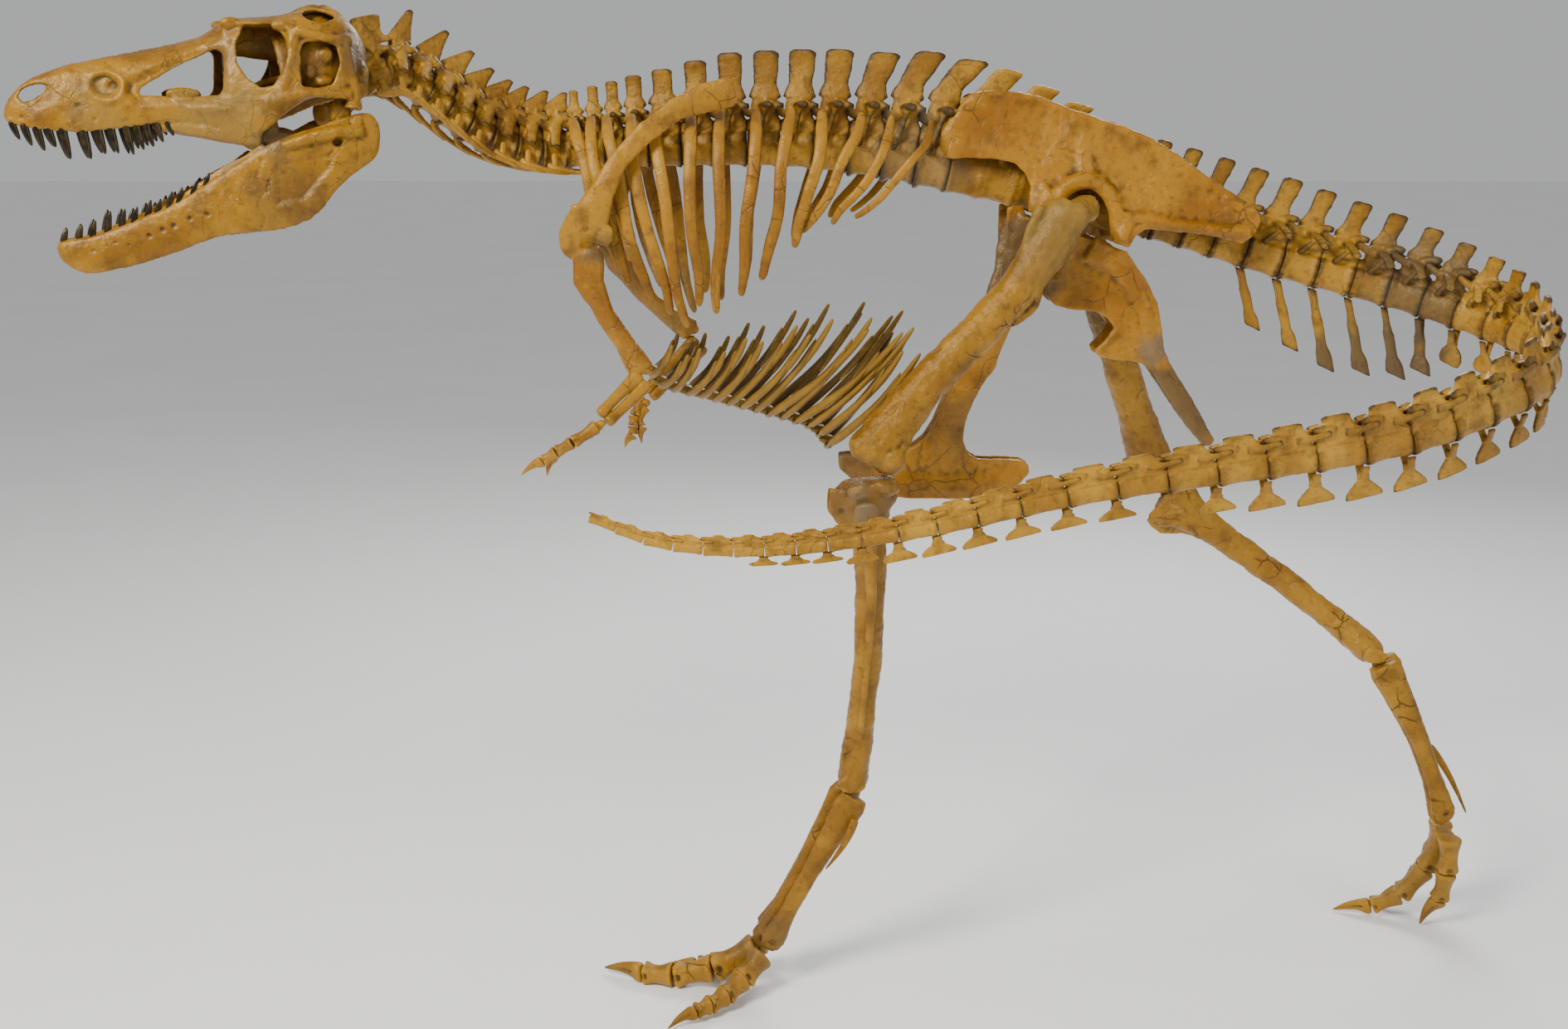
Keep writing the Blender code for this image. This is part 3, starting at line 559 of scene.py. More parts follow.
class Sheet:
    """A node tree being drawn up: adds nodes and joins them."""

    def __init__(self, tree: bpy.types.NodeTree) -> None:
        """Take the tree to draw on."""
        self.tree = tree
        self.count = 0

    def add(self, kind: str, settings: dict[str, object] | None = None,
            **inputs: object) -> bpy.types.Node:
        """Add a node.

        Args:
            kind: Node type without its ShaderNode prefix.
            settings: Properties of the node itself.
            inputs: Values or output sockets by input name, spaces as underscores, or by
                number as _0, _1 and so on.

        Returns:
            The new node.
        """
        node = self.tree.nodes.new(f"ShaderNode{kind}")
        node.location = (180 * self.count, 0)
        self.count += 1
        for key, value in (settings or {}).items():
            setattr(node, key, value)
        for key, value in inputs.items():
            name = int(key[1:]) if key[0] == "_" else key.replace("_", " ")
            if isinstance(value, Socket):
                self.tree.links.new(value, node.inputs[name])
            else:
                node.inputs[name].default_value = value
        return node

    def ramp(self, value: Socket, low: float, high: float,
             to_low: float = 0.0, to_high: float = 1.0) -> Socket:
        """Re-scale a value smoothly, held at both ends.

        Args:
            value: Value to re-scale.
            low: Value that becomes to_low.
            high: Value that becomes to_high.
            to_low: Result at the low end.
            to_high: Result at the high end.

        Returns:
            The result.
        """
        node = self.add("MapRange", {"interpolation_type": "SMOOTHSTEP"}, Value=value,
                        From_Min=low, From_Max=high, To_Min=to_low, To_Max=to_high)
        return node.outputs[0]

    def noise(self, vector: Socket, scale: float | Socket,
              detail: float, roughness: float = 0.55) -> Socket:
        """Draw a noise pattern.

        Args:
            vector: Coordinates.
            scale: Patches to the metre, roughly.
            detail: Number of finer layers.
            roughness: Weight of the finer layers.

        Returns:
            Its value, about 0.5 on average.
        """
        node = self.add(
            "TexNoise", None, Vector=vector, Scale=scale, Detail=detail, Roughness=roughness)
        return node.outputs[0]

    def maths(self, operation: str, a: object, b: object = 0.0) -> Socket:
        """Result of one sum."""
        return self.add("Math", {"operation": operation}, _0=a, _1=b).outputs[0]

    def blend(self, factor: object, a: object, b: object, kind: str = "MIX") -> Socket:
        """Colour a blended towards colour b."""
        node = self.add("Mix", {"data_type": "RGBA", "blend_type": kind}, _0=factor, _6=a, _7=b)
        return node.outputs[2]


def begun(name: str) -> tuple[bpy.types.Material, Sheet, bpy.types.Node, Socket]:
    """Start a material.

    Args:
        name: Name of the material.

    Returns:
        The material, its sheet, its shader and the coordinates of the object.
    """
    made = bpy.data.materials.new(name)
    made.use_nodes = True
    sheet = Sheet(made.node_tree)
    shader = made.node_tree.nodes["Principled BSDF"]
    return made, sheet, shader, sheet.add("TexCoord").outputs["Object"]


def aged_bone_group() -> bpy.types.NodeTree:
    """Mottled, cracked bone with painted shade in its hollows and painted highlights on its edges,
    from a place on it and its cavity value.

    Returns:
        The group, which puts out Color, Roughness and Height.
    """
    group = bpy.data.node_groups.get("aged bone with painted shade")
    if group:
        return group
    group = bpy.data.node_groups.new("aged bone with painted shade", "ShaderNodeTree")
    socket(group, "Place", "INPUT", "Vector")
    for name, value in (("Light", 0.6), ("Mid", 0.4), ("Dark", 0.1)):
        socket(group, name, "INPUT", "Color", (value, value, value, 1.0))
    for name, value in (("Scale", 1.0), ("Cracks", 0.6), ("Gloss", 0.4), ("Soil", 1.0)):
        socket(group, name, "INPUT", "Float", value)
    for name, kind in (("Color", "Color"), ("Roughness", "Float"), ("Height", "Float")):
        socket(group, name, "OUTPUT", kind)
    sheet = Sheet(group)
    given = group.nodes.new("NodeGroupInput").outputs
    place = sheet.add(
        "VectorMath", {"operation": "SCALE"}, _0=given["Place"], Scale=given["Scale"]).outputs[0]
    patches = sheet.noise(place, 4.5, 5.0)
    clouds = sheet.noise(place, 17.0, 7.0, 0.62)
    specks = sheet.noise(place, 75.0, 5.0, 0.65)
    grain = sheet.noise(place, 260.0, 3.0, 0.6)
    colour = sheet.blend(sheet.ramp(patches, 0.38, 0.6), given["Mid"], given["Light"])
    brown = sheet.blend(0.55, given["Mid"], given["Dark"])
    colour = sheet.blend(sheet.ramp(clouds, 0.49, 0.68, 0.0, 0.74), colour, brown)
    pale = sheet.blend(0.45, given["Light"], (0.56, 0.29, 0.025, 1.0))
    colour = sheet.blend(sheet.ramp(clouds, 0.46, 0.28, 0.0, 0.42), colour, pale)
    colour = sheet.blend(sheet.ramp(specks, 0.56, 0.72, 0.0, 0.5), colour, given["Dark"])
    bent = sheet.add(
        "Mix", {"data_type": "VECTOR"}, _0=0.055, _4=place,
        _5=sheet.add("TexNoise", None, Vector=place, Scale=9.0, Detail=4.0).outputs[1]).outputs[1]
    web = sheet.add("TexVoronoi", {"feature": "DISTANCE_TO_EDGE"}, Vector=bent, Scale=15.0)
    where = sheet.ramp(sheet.noise(place, 6.0, 3.0), 0.5, 0.62)
    crack = sheet.maths("MULTIPLY", sheet.ramp(web.outputs[0], 0.03, 0.004), where)
    crack = sheet.maths("MULTIPLY", crack, given["Cracks"])
    colour = sheet.blend(sheet.maths("MULTIPLY", crack, 0.75), colour, given["Dark"])
    cavity = sheet.add("Attribute", {"attribute_name": "cavity"}).outputs["Fac"]
    uneven = sheet.maths(
        "ADD", cavity, sheet.maths("MULTIPLY", sheet.maths("SUBTRACT", clouds, 0.5), 0.34))
    # Painted shade: hollows, made a little uneven by the clouds, turn towards the dark colour.
    hollow_shade = sheet.maths("MULTIPLY", sheet.ramp(uneven, 0.49, 0.23, 0.0, 0.93), given["Soil"])
    colour = sheet.blend(hollow_shade, colour, given["Dark"])
    # Painted highlight: sharp edges turn towards the pale colour.
    colour = sheet.blend(sheet.ramp(uneven, 0.58, 0.92, 0.0, 0.48), colour, pale)
    rough = sheet.maths("ADD", given["Gloss"], sheet.ramp(clouds, 0.4, 0.7, 0.0, 0.16))
    rough = sheet.maths("ADD", rough, sheet.maths("MULTIPLY", hollow_shade, 0.18))
    height = sheet.maths(
        "ADD", sheet.maths("MULTIPLY", clouds, 0.9), sheet.maths("MULTIPLY", specks, 0.42))
    height = sheet.maths("ADD", height, sheet.maths("MULTIPLY", grain, 0.1))
    height = sheet.maths("SUBTRACT", height, sheet.maths("MULTIPLY", crack, 0.5))
    out = group.nodes.new("NodeGroupOutput")
    for name, result in (("Color", colour), ("Roughness", rough), ("Height", height)):
        group.links.new(result, out.inputs[name])
    return group


def stain_group() -> bpy.types.NodeTree:
    """Soft-edged patch round a point, with a ragged outline.

    Returns:
        The group, which puts out Mask.
    """
    group = bpy.data.node_groups.get("colour_patch")
    if group:
        return group
    group = bpy.data.node_groups.new("colour_patch", "ShaderNodeTree")
    socket(group, "Place", "INPUT", "Vector")
    socket(group, "Centre", "INPUT", "Vector")
    socket(group, "Reach", "INPUT", "Float", 0.1)
    socket(group, "Mask", "OUTPUT", "Float")
    sheet = Sheet(group)
    given = group.nodes.new("NodeGroupInput").outputs
    apart = sheet.add(
        "VectorMath", {"operation": "DISTANCE"}, _0=given["Place"], _1=given["Centre"]).outputs[1]
    share = sheet.maths("DIVIDE", apart, given["Reach"])
    ragged = sheet.maths(
        "MULTIPLY", sheet.maths("SUBTRACT", sheet.noise(given["Place"], 22.0, 5.0), 0.5), 1.5)
    mask = sheet.ramp(sheet.maths("ADD", share, ragged), 1.15, 0.55)
    out = group.nodes.new("NodeGroupOutput")
    group.links.new(mask, out.inputs["Mask"])
    return group


@dataclass(frozen=True)
class Stain:
    """A patch of another colour on the bones, either the bone's own colour or a dark patch of
    painted shade: its middle, reach, colour and strength.
    """

    centre: Triple
    reach: float
    colour: Colour
    strength: float = 0.8


@dataclass(frozen=True)
class BoneFinish:
    """Look of one group of bones: three shades, crack strength, gloss, relief, strength of the
    painted shade in hollows, and colour patches.
    """

    name: str
    light: Colour
    mid: Colour
    dark: Colour
    cracks: float = 0.6
    gloss: float = 0.3
    scale: float = 1.0
    relief: float = 0.0055
    # strength of the painted shade in hollows
    soil: float = 1.0
    stains: tuple[Stain, ...] = ()

    def material(self) -> bpy.types.Material:
        """The finish as a material, made once."""
        made = bpy.data.materials.get(self.name)
        if made:
            return made
        made, sheet, shader, place = begun(self.name)
        bone = sheet.add(
            "Group", {"node_tree": aged_bone_group()}, Place=place, Light=(*self.light, 1.0),
            Mid=(*self.mid, 1.0), Dark=(*self.dark, 1.0), Scale=self.scale, Cracks=self.cracks,
            Gloss=self.gloss, Soil=self.soil)
        colour = bone.outputs["Color"]
        # patches of the bone's own colour, and dark patches of painted shade
        for colour_patch in self.stains:
            mask = sheet.add("Group", {"node_tree": stain_group()}, Place=place,
                             Centre=tuple(Vector(colour_patch.centre) + SHIFT), Reach=colour_patch.reach)
            tinted = sheet.blend(0.85, colour, (*colour_patch.colour, 1.0))
            colour = sheet.blend(
                sheet.maths("MULTIPLY", mask.outputs[0], colour_patch.strength), colour, tinted)
        bump = sheet.add(
            "Bump", None, Height=bone.outputs["Height"], Strength=0.85, Distance=self.relief)
        made.node_tree.links.new(colour, shader.inputs["Base Color"])
        made.node_tree.links.new(bone.outputs["Roughness"], shader.inputs["Roughness"])
        made.node_tree.links.new(bump.outputs[0], shader.inputs["Normal"])
        shader.inputs["Specular IOR Level"].default_value = 0.42
        shader.inputs["Specular Tint"].default_value = (1.0, 0.84, 0.55, 1.0)
        return made


BLUE_GREY = (0.085, 0.092, 0.085)
# near-black brown of the patches of painted shade in openings, in joints, between parts and on the
# far side
PAINTED_SHADE = (0.05, 0.04, 0.026)
OLIVE_TAN = (0.205, 0.135, 0.035)
BONE = BoneFinish(
    "golden bone", (0.32, 0.152, 0.01), (0.2, 0.08, 0.004), (0.026, 0.012, 0.003),
    stains=(
        # dark patches: painted shade on the far arm and in the near shoulder joint
        Stain((-0.33, 0.245, 1.66), 0.17, PAINTED_SHADE, 0.55),
        Stain((-0.412, -0.235, 1.805), 0.045, PAINTED_SHADE, 0.7),))
COLUMN = BoneFinish(
    "column bone", (0.35, 0.176, 0.014), (0.21, 0.09, 0.005), (0.022, 0.011, 0.003), cracks=0.4,
    scale=1.25,
    stains=(
        # dark patches: painted shade on the chevrons and the column where the tail bends; the
        # blue-grey patch is the bone's own colour
        Stain((1.38, -0.03, 1.48), 0.2, PAINTED_SHADE, 0.9), Stain((1.47, -0.08, 1.72), 0.15, PAINTED_SHADE, 0.7),
        Stain((0.3, -0.04, 1.98), 0.15, BLUE_GREY, 0.35)))
TAIL = BoneFinish(
    "tail bone", (0.41, 0.215, 0.02), (0.265, 0.122, 0.008), (0.03, 0.015, 0.004), cracks=0.4,
    scale=1.25)
HEAD = BoneFinish(
    "skull bone", (0.265, 0.123, 0.005), (0.16, 0.066, 0.003), (0.024, 0.011, 0.002), cracks=0.5,
    scale=1.35, relief=0.0034,
    stains=(
        Stain((-1.17, -0.47, 2.1), 0.12, OLIVE_TAN, 0.55),
        Stain((-1.4, -0.5, 2.1), 0.08, OLIVE_TAN, 0.4),
        # dark patches: painted shade at the jaw joint, in the eye socket and the opening behind it,
        # at the back of the skull and in the jaw's side hollow; the olive patches are the bone's
        # own colour
        Stain((-1.06, -0.44, 2.05), 0.05, PAINTED_SHADE, 0.7),
        Stain((-1.13, -0.45, 2.22), 0.05, PAINTED_SHADE, 0.4),
        Stain((-1.01, -0.42, 2.2), 0.07, PAINTED_SHADE, 0.35),
        Stain((-0.87, -0.39, 2.22), 0.07, PAINTED_SHADE, 0.55),
        Stain((-1.05, -0.44, 1.93), 0.1, PAINTED_SHADE, 0.3)))
LIMB = BoneFinish(
    "limb bone", (0.315, 0.153, 0.008), (0.2, 0.086, 0.004), (0.034, 0.015, 0.003), cracks=0.9,
    scale=0.9, relief=0.008,
    stains=(
        Stain((0.62, -0.2, 1.86), 0.16, OLIVE_TAN, 0.55),
        # dark patches: painted shade in the near knee joint, on the far thigh and far foot, and
        # where the near toes join the instep; the olive and blue-grey patches are the bone's own
        # colour
        Stain((0.18, -0.28, 1.25), 0.11, PAINTED_SHADE, 0.45),
        Stain((0.165, -0.3, 1.24), 0.045, BLUE_GREY, 0.5),
        Stain((1.69, 0.26, 0.13), 0.15, PAINTED_SHADE, 0.3), Stain((0.8, 0.17, 1.62), 0.14, PAINTED_SHADE, 0.7),
        Stain((-0.03, -0.15, 0.12), 0.1, PAINTED_SHADE, 0.45)))
HIP = BoneFinish(
    "hip bone", (0.325, 0.144, 0.008), (0.215, 0.082, 0.003), (0.034, 0.014, 0.002), cracks=0.6,
    scale=0.95,
    stains=(
        Stain((0.87, -0.06, 1.56), 0.045, BLUE_GREY, 0.65),
        # dark patches: painted shade between the ischia, below the front of both hip sockets and
        # between the two pubes; the blue-grey patch is the bone's own colour
        Stain((0.95, -0.03, 1.43), 0.16, PAINTED_SHADE, 0.85), Stain((0.54, -0.08, 1.76), 0.14, PAINTED_SHADE, 0.8),
        Stain((0.54, 0.08, 1.72), 0.16, PAINTED_SHADE, 0.8), Stain((0.4, 0.0, 1.4), 0.1, PAINTED_SHADE, 0.5),
        Stain((0.14, 0.0, 1.28), 0.1, PAINTED_SHADE, 0.7)))
UMBER = BoneFinish(
    "umber bone", (0.125, 0.066, 0.007), (0.07, 0.036, 0.004), (0.016, 0.008, 0.002), cracks=0.3,
    scale=1.5, relief=0.0015)


@dataclass(frozen=True)
class Enamel:
    """Glossy brown-black enamel of the teeth, with paler streaks along their length."""

    name: str = "tooth enamel"
    deep: Colour = (0.008, 0.006, 0.003)
    warm: Colour = (0.036, 0.021, 0.006)

    def material(self) -> bpy.types.Material:
        """The finish as a material, made once."""
        made = bpy.data.materials.get(self.name)
        if made:
            return made
        made, sheet, shader, place = begun(self.name)
        streaks = sheet.noise(sheet.add("VectorMath", {"operation": "MULTIPLY"}, _0=place,
                                        _1=(1.0, 1.0, 0.18)).outputs[0], 210.0, 4.0)
        clouds = sheet.noise(place, 60.0, 4.0)
        share = sheet.maths(
            "ADD", sheet.maths("MULTIPLY", streaks, 0.55), sheet.maths("MULTIPLY", clouds, 0.45))
        colour = sheet.blend(sheet.ramp(share, 0.44, 0.64), (*self.deep, 1.0), (*self.warm, 1.0))
        bump = sheet.add("Bump", None, Height=streaks, Strength=0.35, Distance=0.0006)
        made.node_tree.links.new(colour, shader.inputs["Base Color"])
        made.node_tree.links.new(
            sheet.ramp(clouds, 0.3, 0.7, 0.18, 0.36), shader.inputs["Roughness"])
        made.node_tree.links.new(bump.outputs[0], shader.inputs["Normal"])
        shader.inputs["Coat Weight"].default_value = 0.1
        shader.inputs["Specular IOR Level"].default_value = 0.3
        shader.inputs["Specular Tint"].default_value = (1.0, 0.86, 0.62, 1.0)
        shader.inputs["Coat Roughness"].default_value = 0.12
        return made


ENAMEL = Enamel()
Finish = BoneFinish | Enamel


def finished(
        item: Item, name: str, finish: Finish, nodes: Sequence[str] = (),
        shift: bool = True) -> Item:
    """Name, place and dress a modelled piece and hand it to the frame.

    Args:
        item: Piece whose mesh is set out from the hips' zero.
        name: Name of the piece.
        finish: Its finish.
        nodes: Plain solids that it takes the place of.
        shift: Whether the mesh still has to be moved by SHIFT.

    Returns:
        The same piece.
    """
    item.name = name
    item.data.name = name
    corner = item.data.attributes.get("corner")
    if corner:
        item.data.attributes.remove(corner)
    if shift:
        put_points(item, points_of(item) + np.array(SHIFT))
    crevices(item.data)
    item.data.materials.clear()
    item.data.materials.append(finish.material())
    choose([item])
    bpy.ops.object.shade_smooth()
    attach(item, "root")
    if nodes:
        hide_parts(*nodes)
    log.info("%s: %d faces", name, len(item.data.polygons))
    return item


# ---- the column: neck, back, hips and tail ----
SPINE_WAY = (
    (-0.899, -0.275, 2.194), (-0.853, -0.23, 2.203), (-0.811, -0.19, 2.185), (-0.764, -0.152, 2.15),
    (-0.717, -0.115, 2.109), (-0.65, -0.07, 2.067), (-0.562, -0.025, 2.044), (-0.469, 0.0, 2.043),
    (-0.182, 0.0, 2.059), (0.01, 0.0, 2.061), (0.201, 0.0, 2.051), (0.393, 0.0, 2.025),
    (0.587, 0.0, 1.974), (0.781, 0.0, 1.911), (0.952, 0.0, 1.862), (1.117, 0.0, 1.81),
    (1.306, -0.008, 1.758), (1.47, -0.055, 1.712), (1.593, -0.17, 1.666), (1.638, -0.32, 1.636),
    (1.613, -0.48, 1.608), (1.53, -0.63, 1.58), (1.369, -0.755, 1.537), (1.191, -0.84, 1.497),
    (0.95, -0.895, 1.461), (0.57, -0.955, 1.411), (0.233, -1.01, 1.347), (-0.02, -1.03, 1.316),
    (-0.217, -1.045, 1.327), (-0.357, -1.055, 1.376))
BACK_BONES = ((0, 0.0455), (2, 0.045), (3, 0.056), (4, 0.075), (12, 0.082))
TAIL_BONES = (
    (0, 0.074), (2, 0.077), (4, 0.089), (9, 0.086), (12, 0.08), (13, 0.098), (17, 0.11),
    (20, 0.102), (26, 0.1), (29, 0.08), (33, 0.06), (40, 0.054))
# by vertebra number: spine height over the column, half length of its top, slope back
BACK_SPINES = (
    (0, 0.112, 0.011, 0.0), (2, 0.128, 0.015, 0.0), (4, 0.148, 0.025, 0.0), (6, 0.178, 0.03, 0.0),
    (9, 0.19, 0.034, 0.006), (10, 0.191, 0.036, 0.026), (11, 0.204, 0.037, 0.044),
    (12, 0.202, 0.037, 0.054))
NECK_SPINES = ((0, 0.11), (1, 0.126), (4, 0.118), (8, 0.11))
TAIL_BODIES = (
    (0, 0.082, 0.072, 0.024), (4, 0.081, 0.077, 0.025), (7, 0.078, 0.066, 0.024),
    (9, 0.077, 0.05, 0.023), (13, 0.068, 0.03, 0.024), (20, 0.052, 0.016, 0.032),
    (25, 0.037, 0.009, 0.034), (31, 0.025, 0.005, 0.025), (36, 0.019, 0.004, 0.018),
    (41, 0.008, 0.003, 0.012))
# by vertebra number: chevron's depth under the column, slope back, half length of its foot
CHEVRONS = (
    (3, 0.198, 0.4, 0.014), (5, 0.247, 0.38, 0.016), (7, 0.218, 0.36, 0.018), (8, 0.19, 0.23, 0.02),
    (9, 0.15, 0.1, 0.022), (12, 0.122, 0.0, 0.026), (18, 0.117, 0.0, 0.038), (20, 0.111, 0.0, 0.04),
    (22, 0.097, 0.0, 0.038), (25, 0.07, 0.0, 0.037), (30, 0.06, 0.0, 0.031), (32, 0.04, 0.0, 0.025),
    (34, 0.036, 0.0, 0.02))
# rows of (share of the height, length, thickness) of a spine's blade
BROAD = (
    (0.0, 1.95, 1.6), (0.12, 1.65, 1.3), (0.26, 1.15, 1.05), (0.5, 0.96, 0.9), (0.78, 0.98, 0.95),
    (0.92, 1.0, 1.25), (0.98, 0.86, 1.1), (1.0, 0.6, 0.8))
POINTED = (
    (0.0, 1.75, 1.5), (0.25, 1.42, 1.1), (0.5, 1.05, 0.95), (0.75, 0.72, 0.9), (0.93, 0.46, 1.0),
    (1.0, 0.28, 0.7))


@dataclass
class Vertebra:
    """Pattern of one kind of vertebra, modelled at a middling size.

    X runs along the column towards the tail, Y to the animal's left, Z up; the zero is on
    the column's line. Copies are stretched to the length and height of each number.
    """

    length: float = 0.075
    width: float = 0.045
    height: float = 0.08
    spine_top: float = 0.178
    spine_length: float = 0.02
    spine_thick: float = 0.007
    spine_back: float = 0.0
    blade: Stops = BROAD
    reach: float = 0.08
    reach_rise: float = 0.055
    reach_back: float = 0.01
    yoke: float = 0.6
    yoke_rise: float = 0.045
    arch_reach: float = 1.0
    pinch: float = 0.74
    rib_arms: bool = False
    voxel: float = 0.0034

    def body(self) -> list[Item]:
        """Spool of the vertebra with hollow flanks and raised end rims."""
        half, low, deep = self.length / 2, -0.4 * self.height, 0.56 * self.height
        stops = ((-1.0, 0.86), (-0.93, 1.0), (-0.8, 1.0), (-0.55, mix(1, self.pinch, 0.75)),
                 (0.0, self.pinch), (0.55, mix(1, self.pinch, 0.75)), (0.8, 1.0),
                 (0.93, 1.0), (1.0, 0.86))
        rings = []
        for share, swell in stops:
            centre = Vector((share * half * 0.985, 0, low + 0.02 * self.height * (1 - swell)))
            rings.append(oval(centre, Vector((0, self.width * 0.86 * swell, 0)),
                              Vector((0, 0, deep * mix(1, swell, 0.6))), 14, 0.9))
        return [tube(rings)]

    def arch(self) -> list[Item]:
        """Arch over the cord's canal, with its front and rear yokes on either side."""
        half, parts = self.length / 2, []
        wide, tall = self.width * 0.46, self.height
        run = half * self.arch_reach
        parts.append(tube([oval(Vector((x * run, 0, 0.5 * tall)), Vector((0, wide * w, 0)),
                                Vector((0, 0, 0.44 * tall * h)), 10, 0.8)
                           for x, w, h in ((-0.62, 0.7, 0.5), (-0.45, 1.0, 1.0), (0.0, 0.86, 1.0),
                                           (0.45, 1.0, 1.0), (0.7, 0.7, 0.6))]))
        parts.append(bar([(-1.04 * half, 0, 0.18 * tall), (1.04 * half, 0, 0.18 * tall)],
                         ((0.15 * tall, 0.5 * self.width),) * 2, ACROSS, 8))
        for sign in (-1, 1):
            rise = self.yoke_rise
            parts.append(bar([(-0.2 * half, sign * wide * 0.8, 0.55 * tall),
                              (-0.8 * half, sign * wide * 1.15, rise * 0.82),
                              (-(1 + self.yoke * 0.5) * half, sign * wide * 1.3, rise)],
                             ((0.014, 0.01), (0.01, 0.009), (0.009, 0.01)), ACROSS, 8))
            parts.append(bar([(0.2 * half, sign * wide * 0.7, 0.7 * tall),
                              (0.8 * half, sign * wide * 0.95, rise * 1.18),
                              (1.18 * half, sign * wide * 1.1, rise * 1.16)],
                             ((0.014, 0.01), (0.011, 0.009), (0.007, 0.009)), ACROSS, 8))
            if self.reach > self.width:
                root = Vector((0.05 * half, sign * wide * 0.7, 0.62 * tall))
                end = Vector((self.reach_back, sign * self.reach, self.reach_rise))
                middle = root.lerp(end, 0.55) + Vector((0, 0, 0.004))
                parts.append(bar([root, middle, end],
                                 ((0.01, 0.02), (0.0065, 0.0135), (0.0075, 0.0125)),
                                 AHEAD, 10))
                brace = Vector((-0.3 * half, sign * self.width * 0.62, -0.02 * tall))
                parts.append(
                    bar([brace, root.lerp(end, 0.45)], ((0.008, 0.009), (0.004, 0.006)), AHEAD, 8))
            if self.rib_arms:
                parts.append(knob((-0.42 * half, sign * self.width * 0.82, -0.1 * tall),
                                  (0.01, 0.009, 0.013)))
        return parts

    def spine(self) -> list[Item]:
        """Blade that stands on the arch."""
        foot, top, wide = 0.86 * self.height, self.spine_top, self.spine_length
        rings = []
        for t, length, thick in self.blade:
            z = mix(foot, top, t)
            centre = Vector((self.spine_back * t + 0.002, 0, z))
            rings.append(oval(centre, Vector((wide * length, 0, 0)),
                              Vector((0, self.spine_thick * thick, 0)), 14, 0.75))
        return [tube(rings)]

    def pattern(self) -> Item:
        """The whole vertebra as one closed bone."""
        bone = fused(self.body() + self.arch() + self.spine(), self.voxel, 3)
        return lumpy(bone, 0.016, 0.0022)


def placed(pattern: Item, frame: Frame, stretch: Fit) -> Item:
    """Copy of a pattern, stretched and then stood on the column.

    Args:
        pattern: Pattern round its own zero.
        frame: Point, tangent, side and up vectors of its place.
        stretch: Changes the pattern's points before they are placed.

    Returns:
        The placed copy.
    """
    point, tangent, side, up = frame
    turn = np.array([tangent, side, up])
    return copied(pattern, stretch(points_of(pattern)) @ turn + np.array(point))


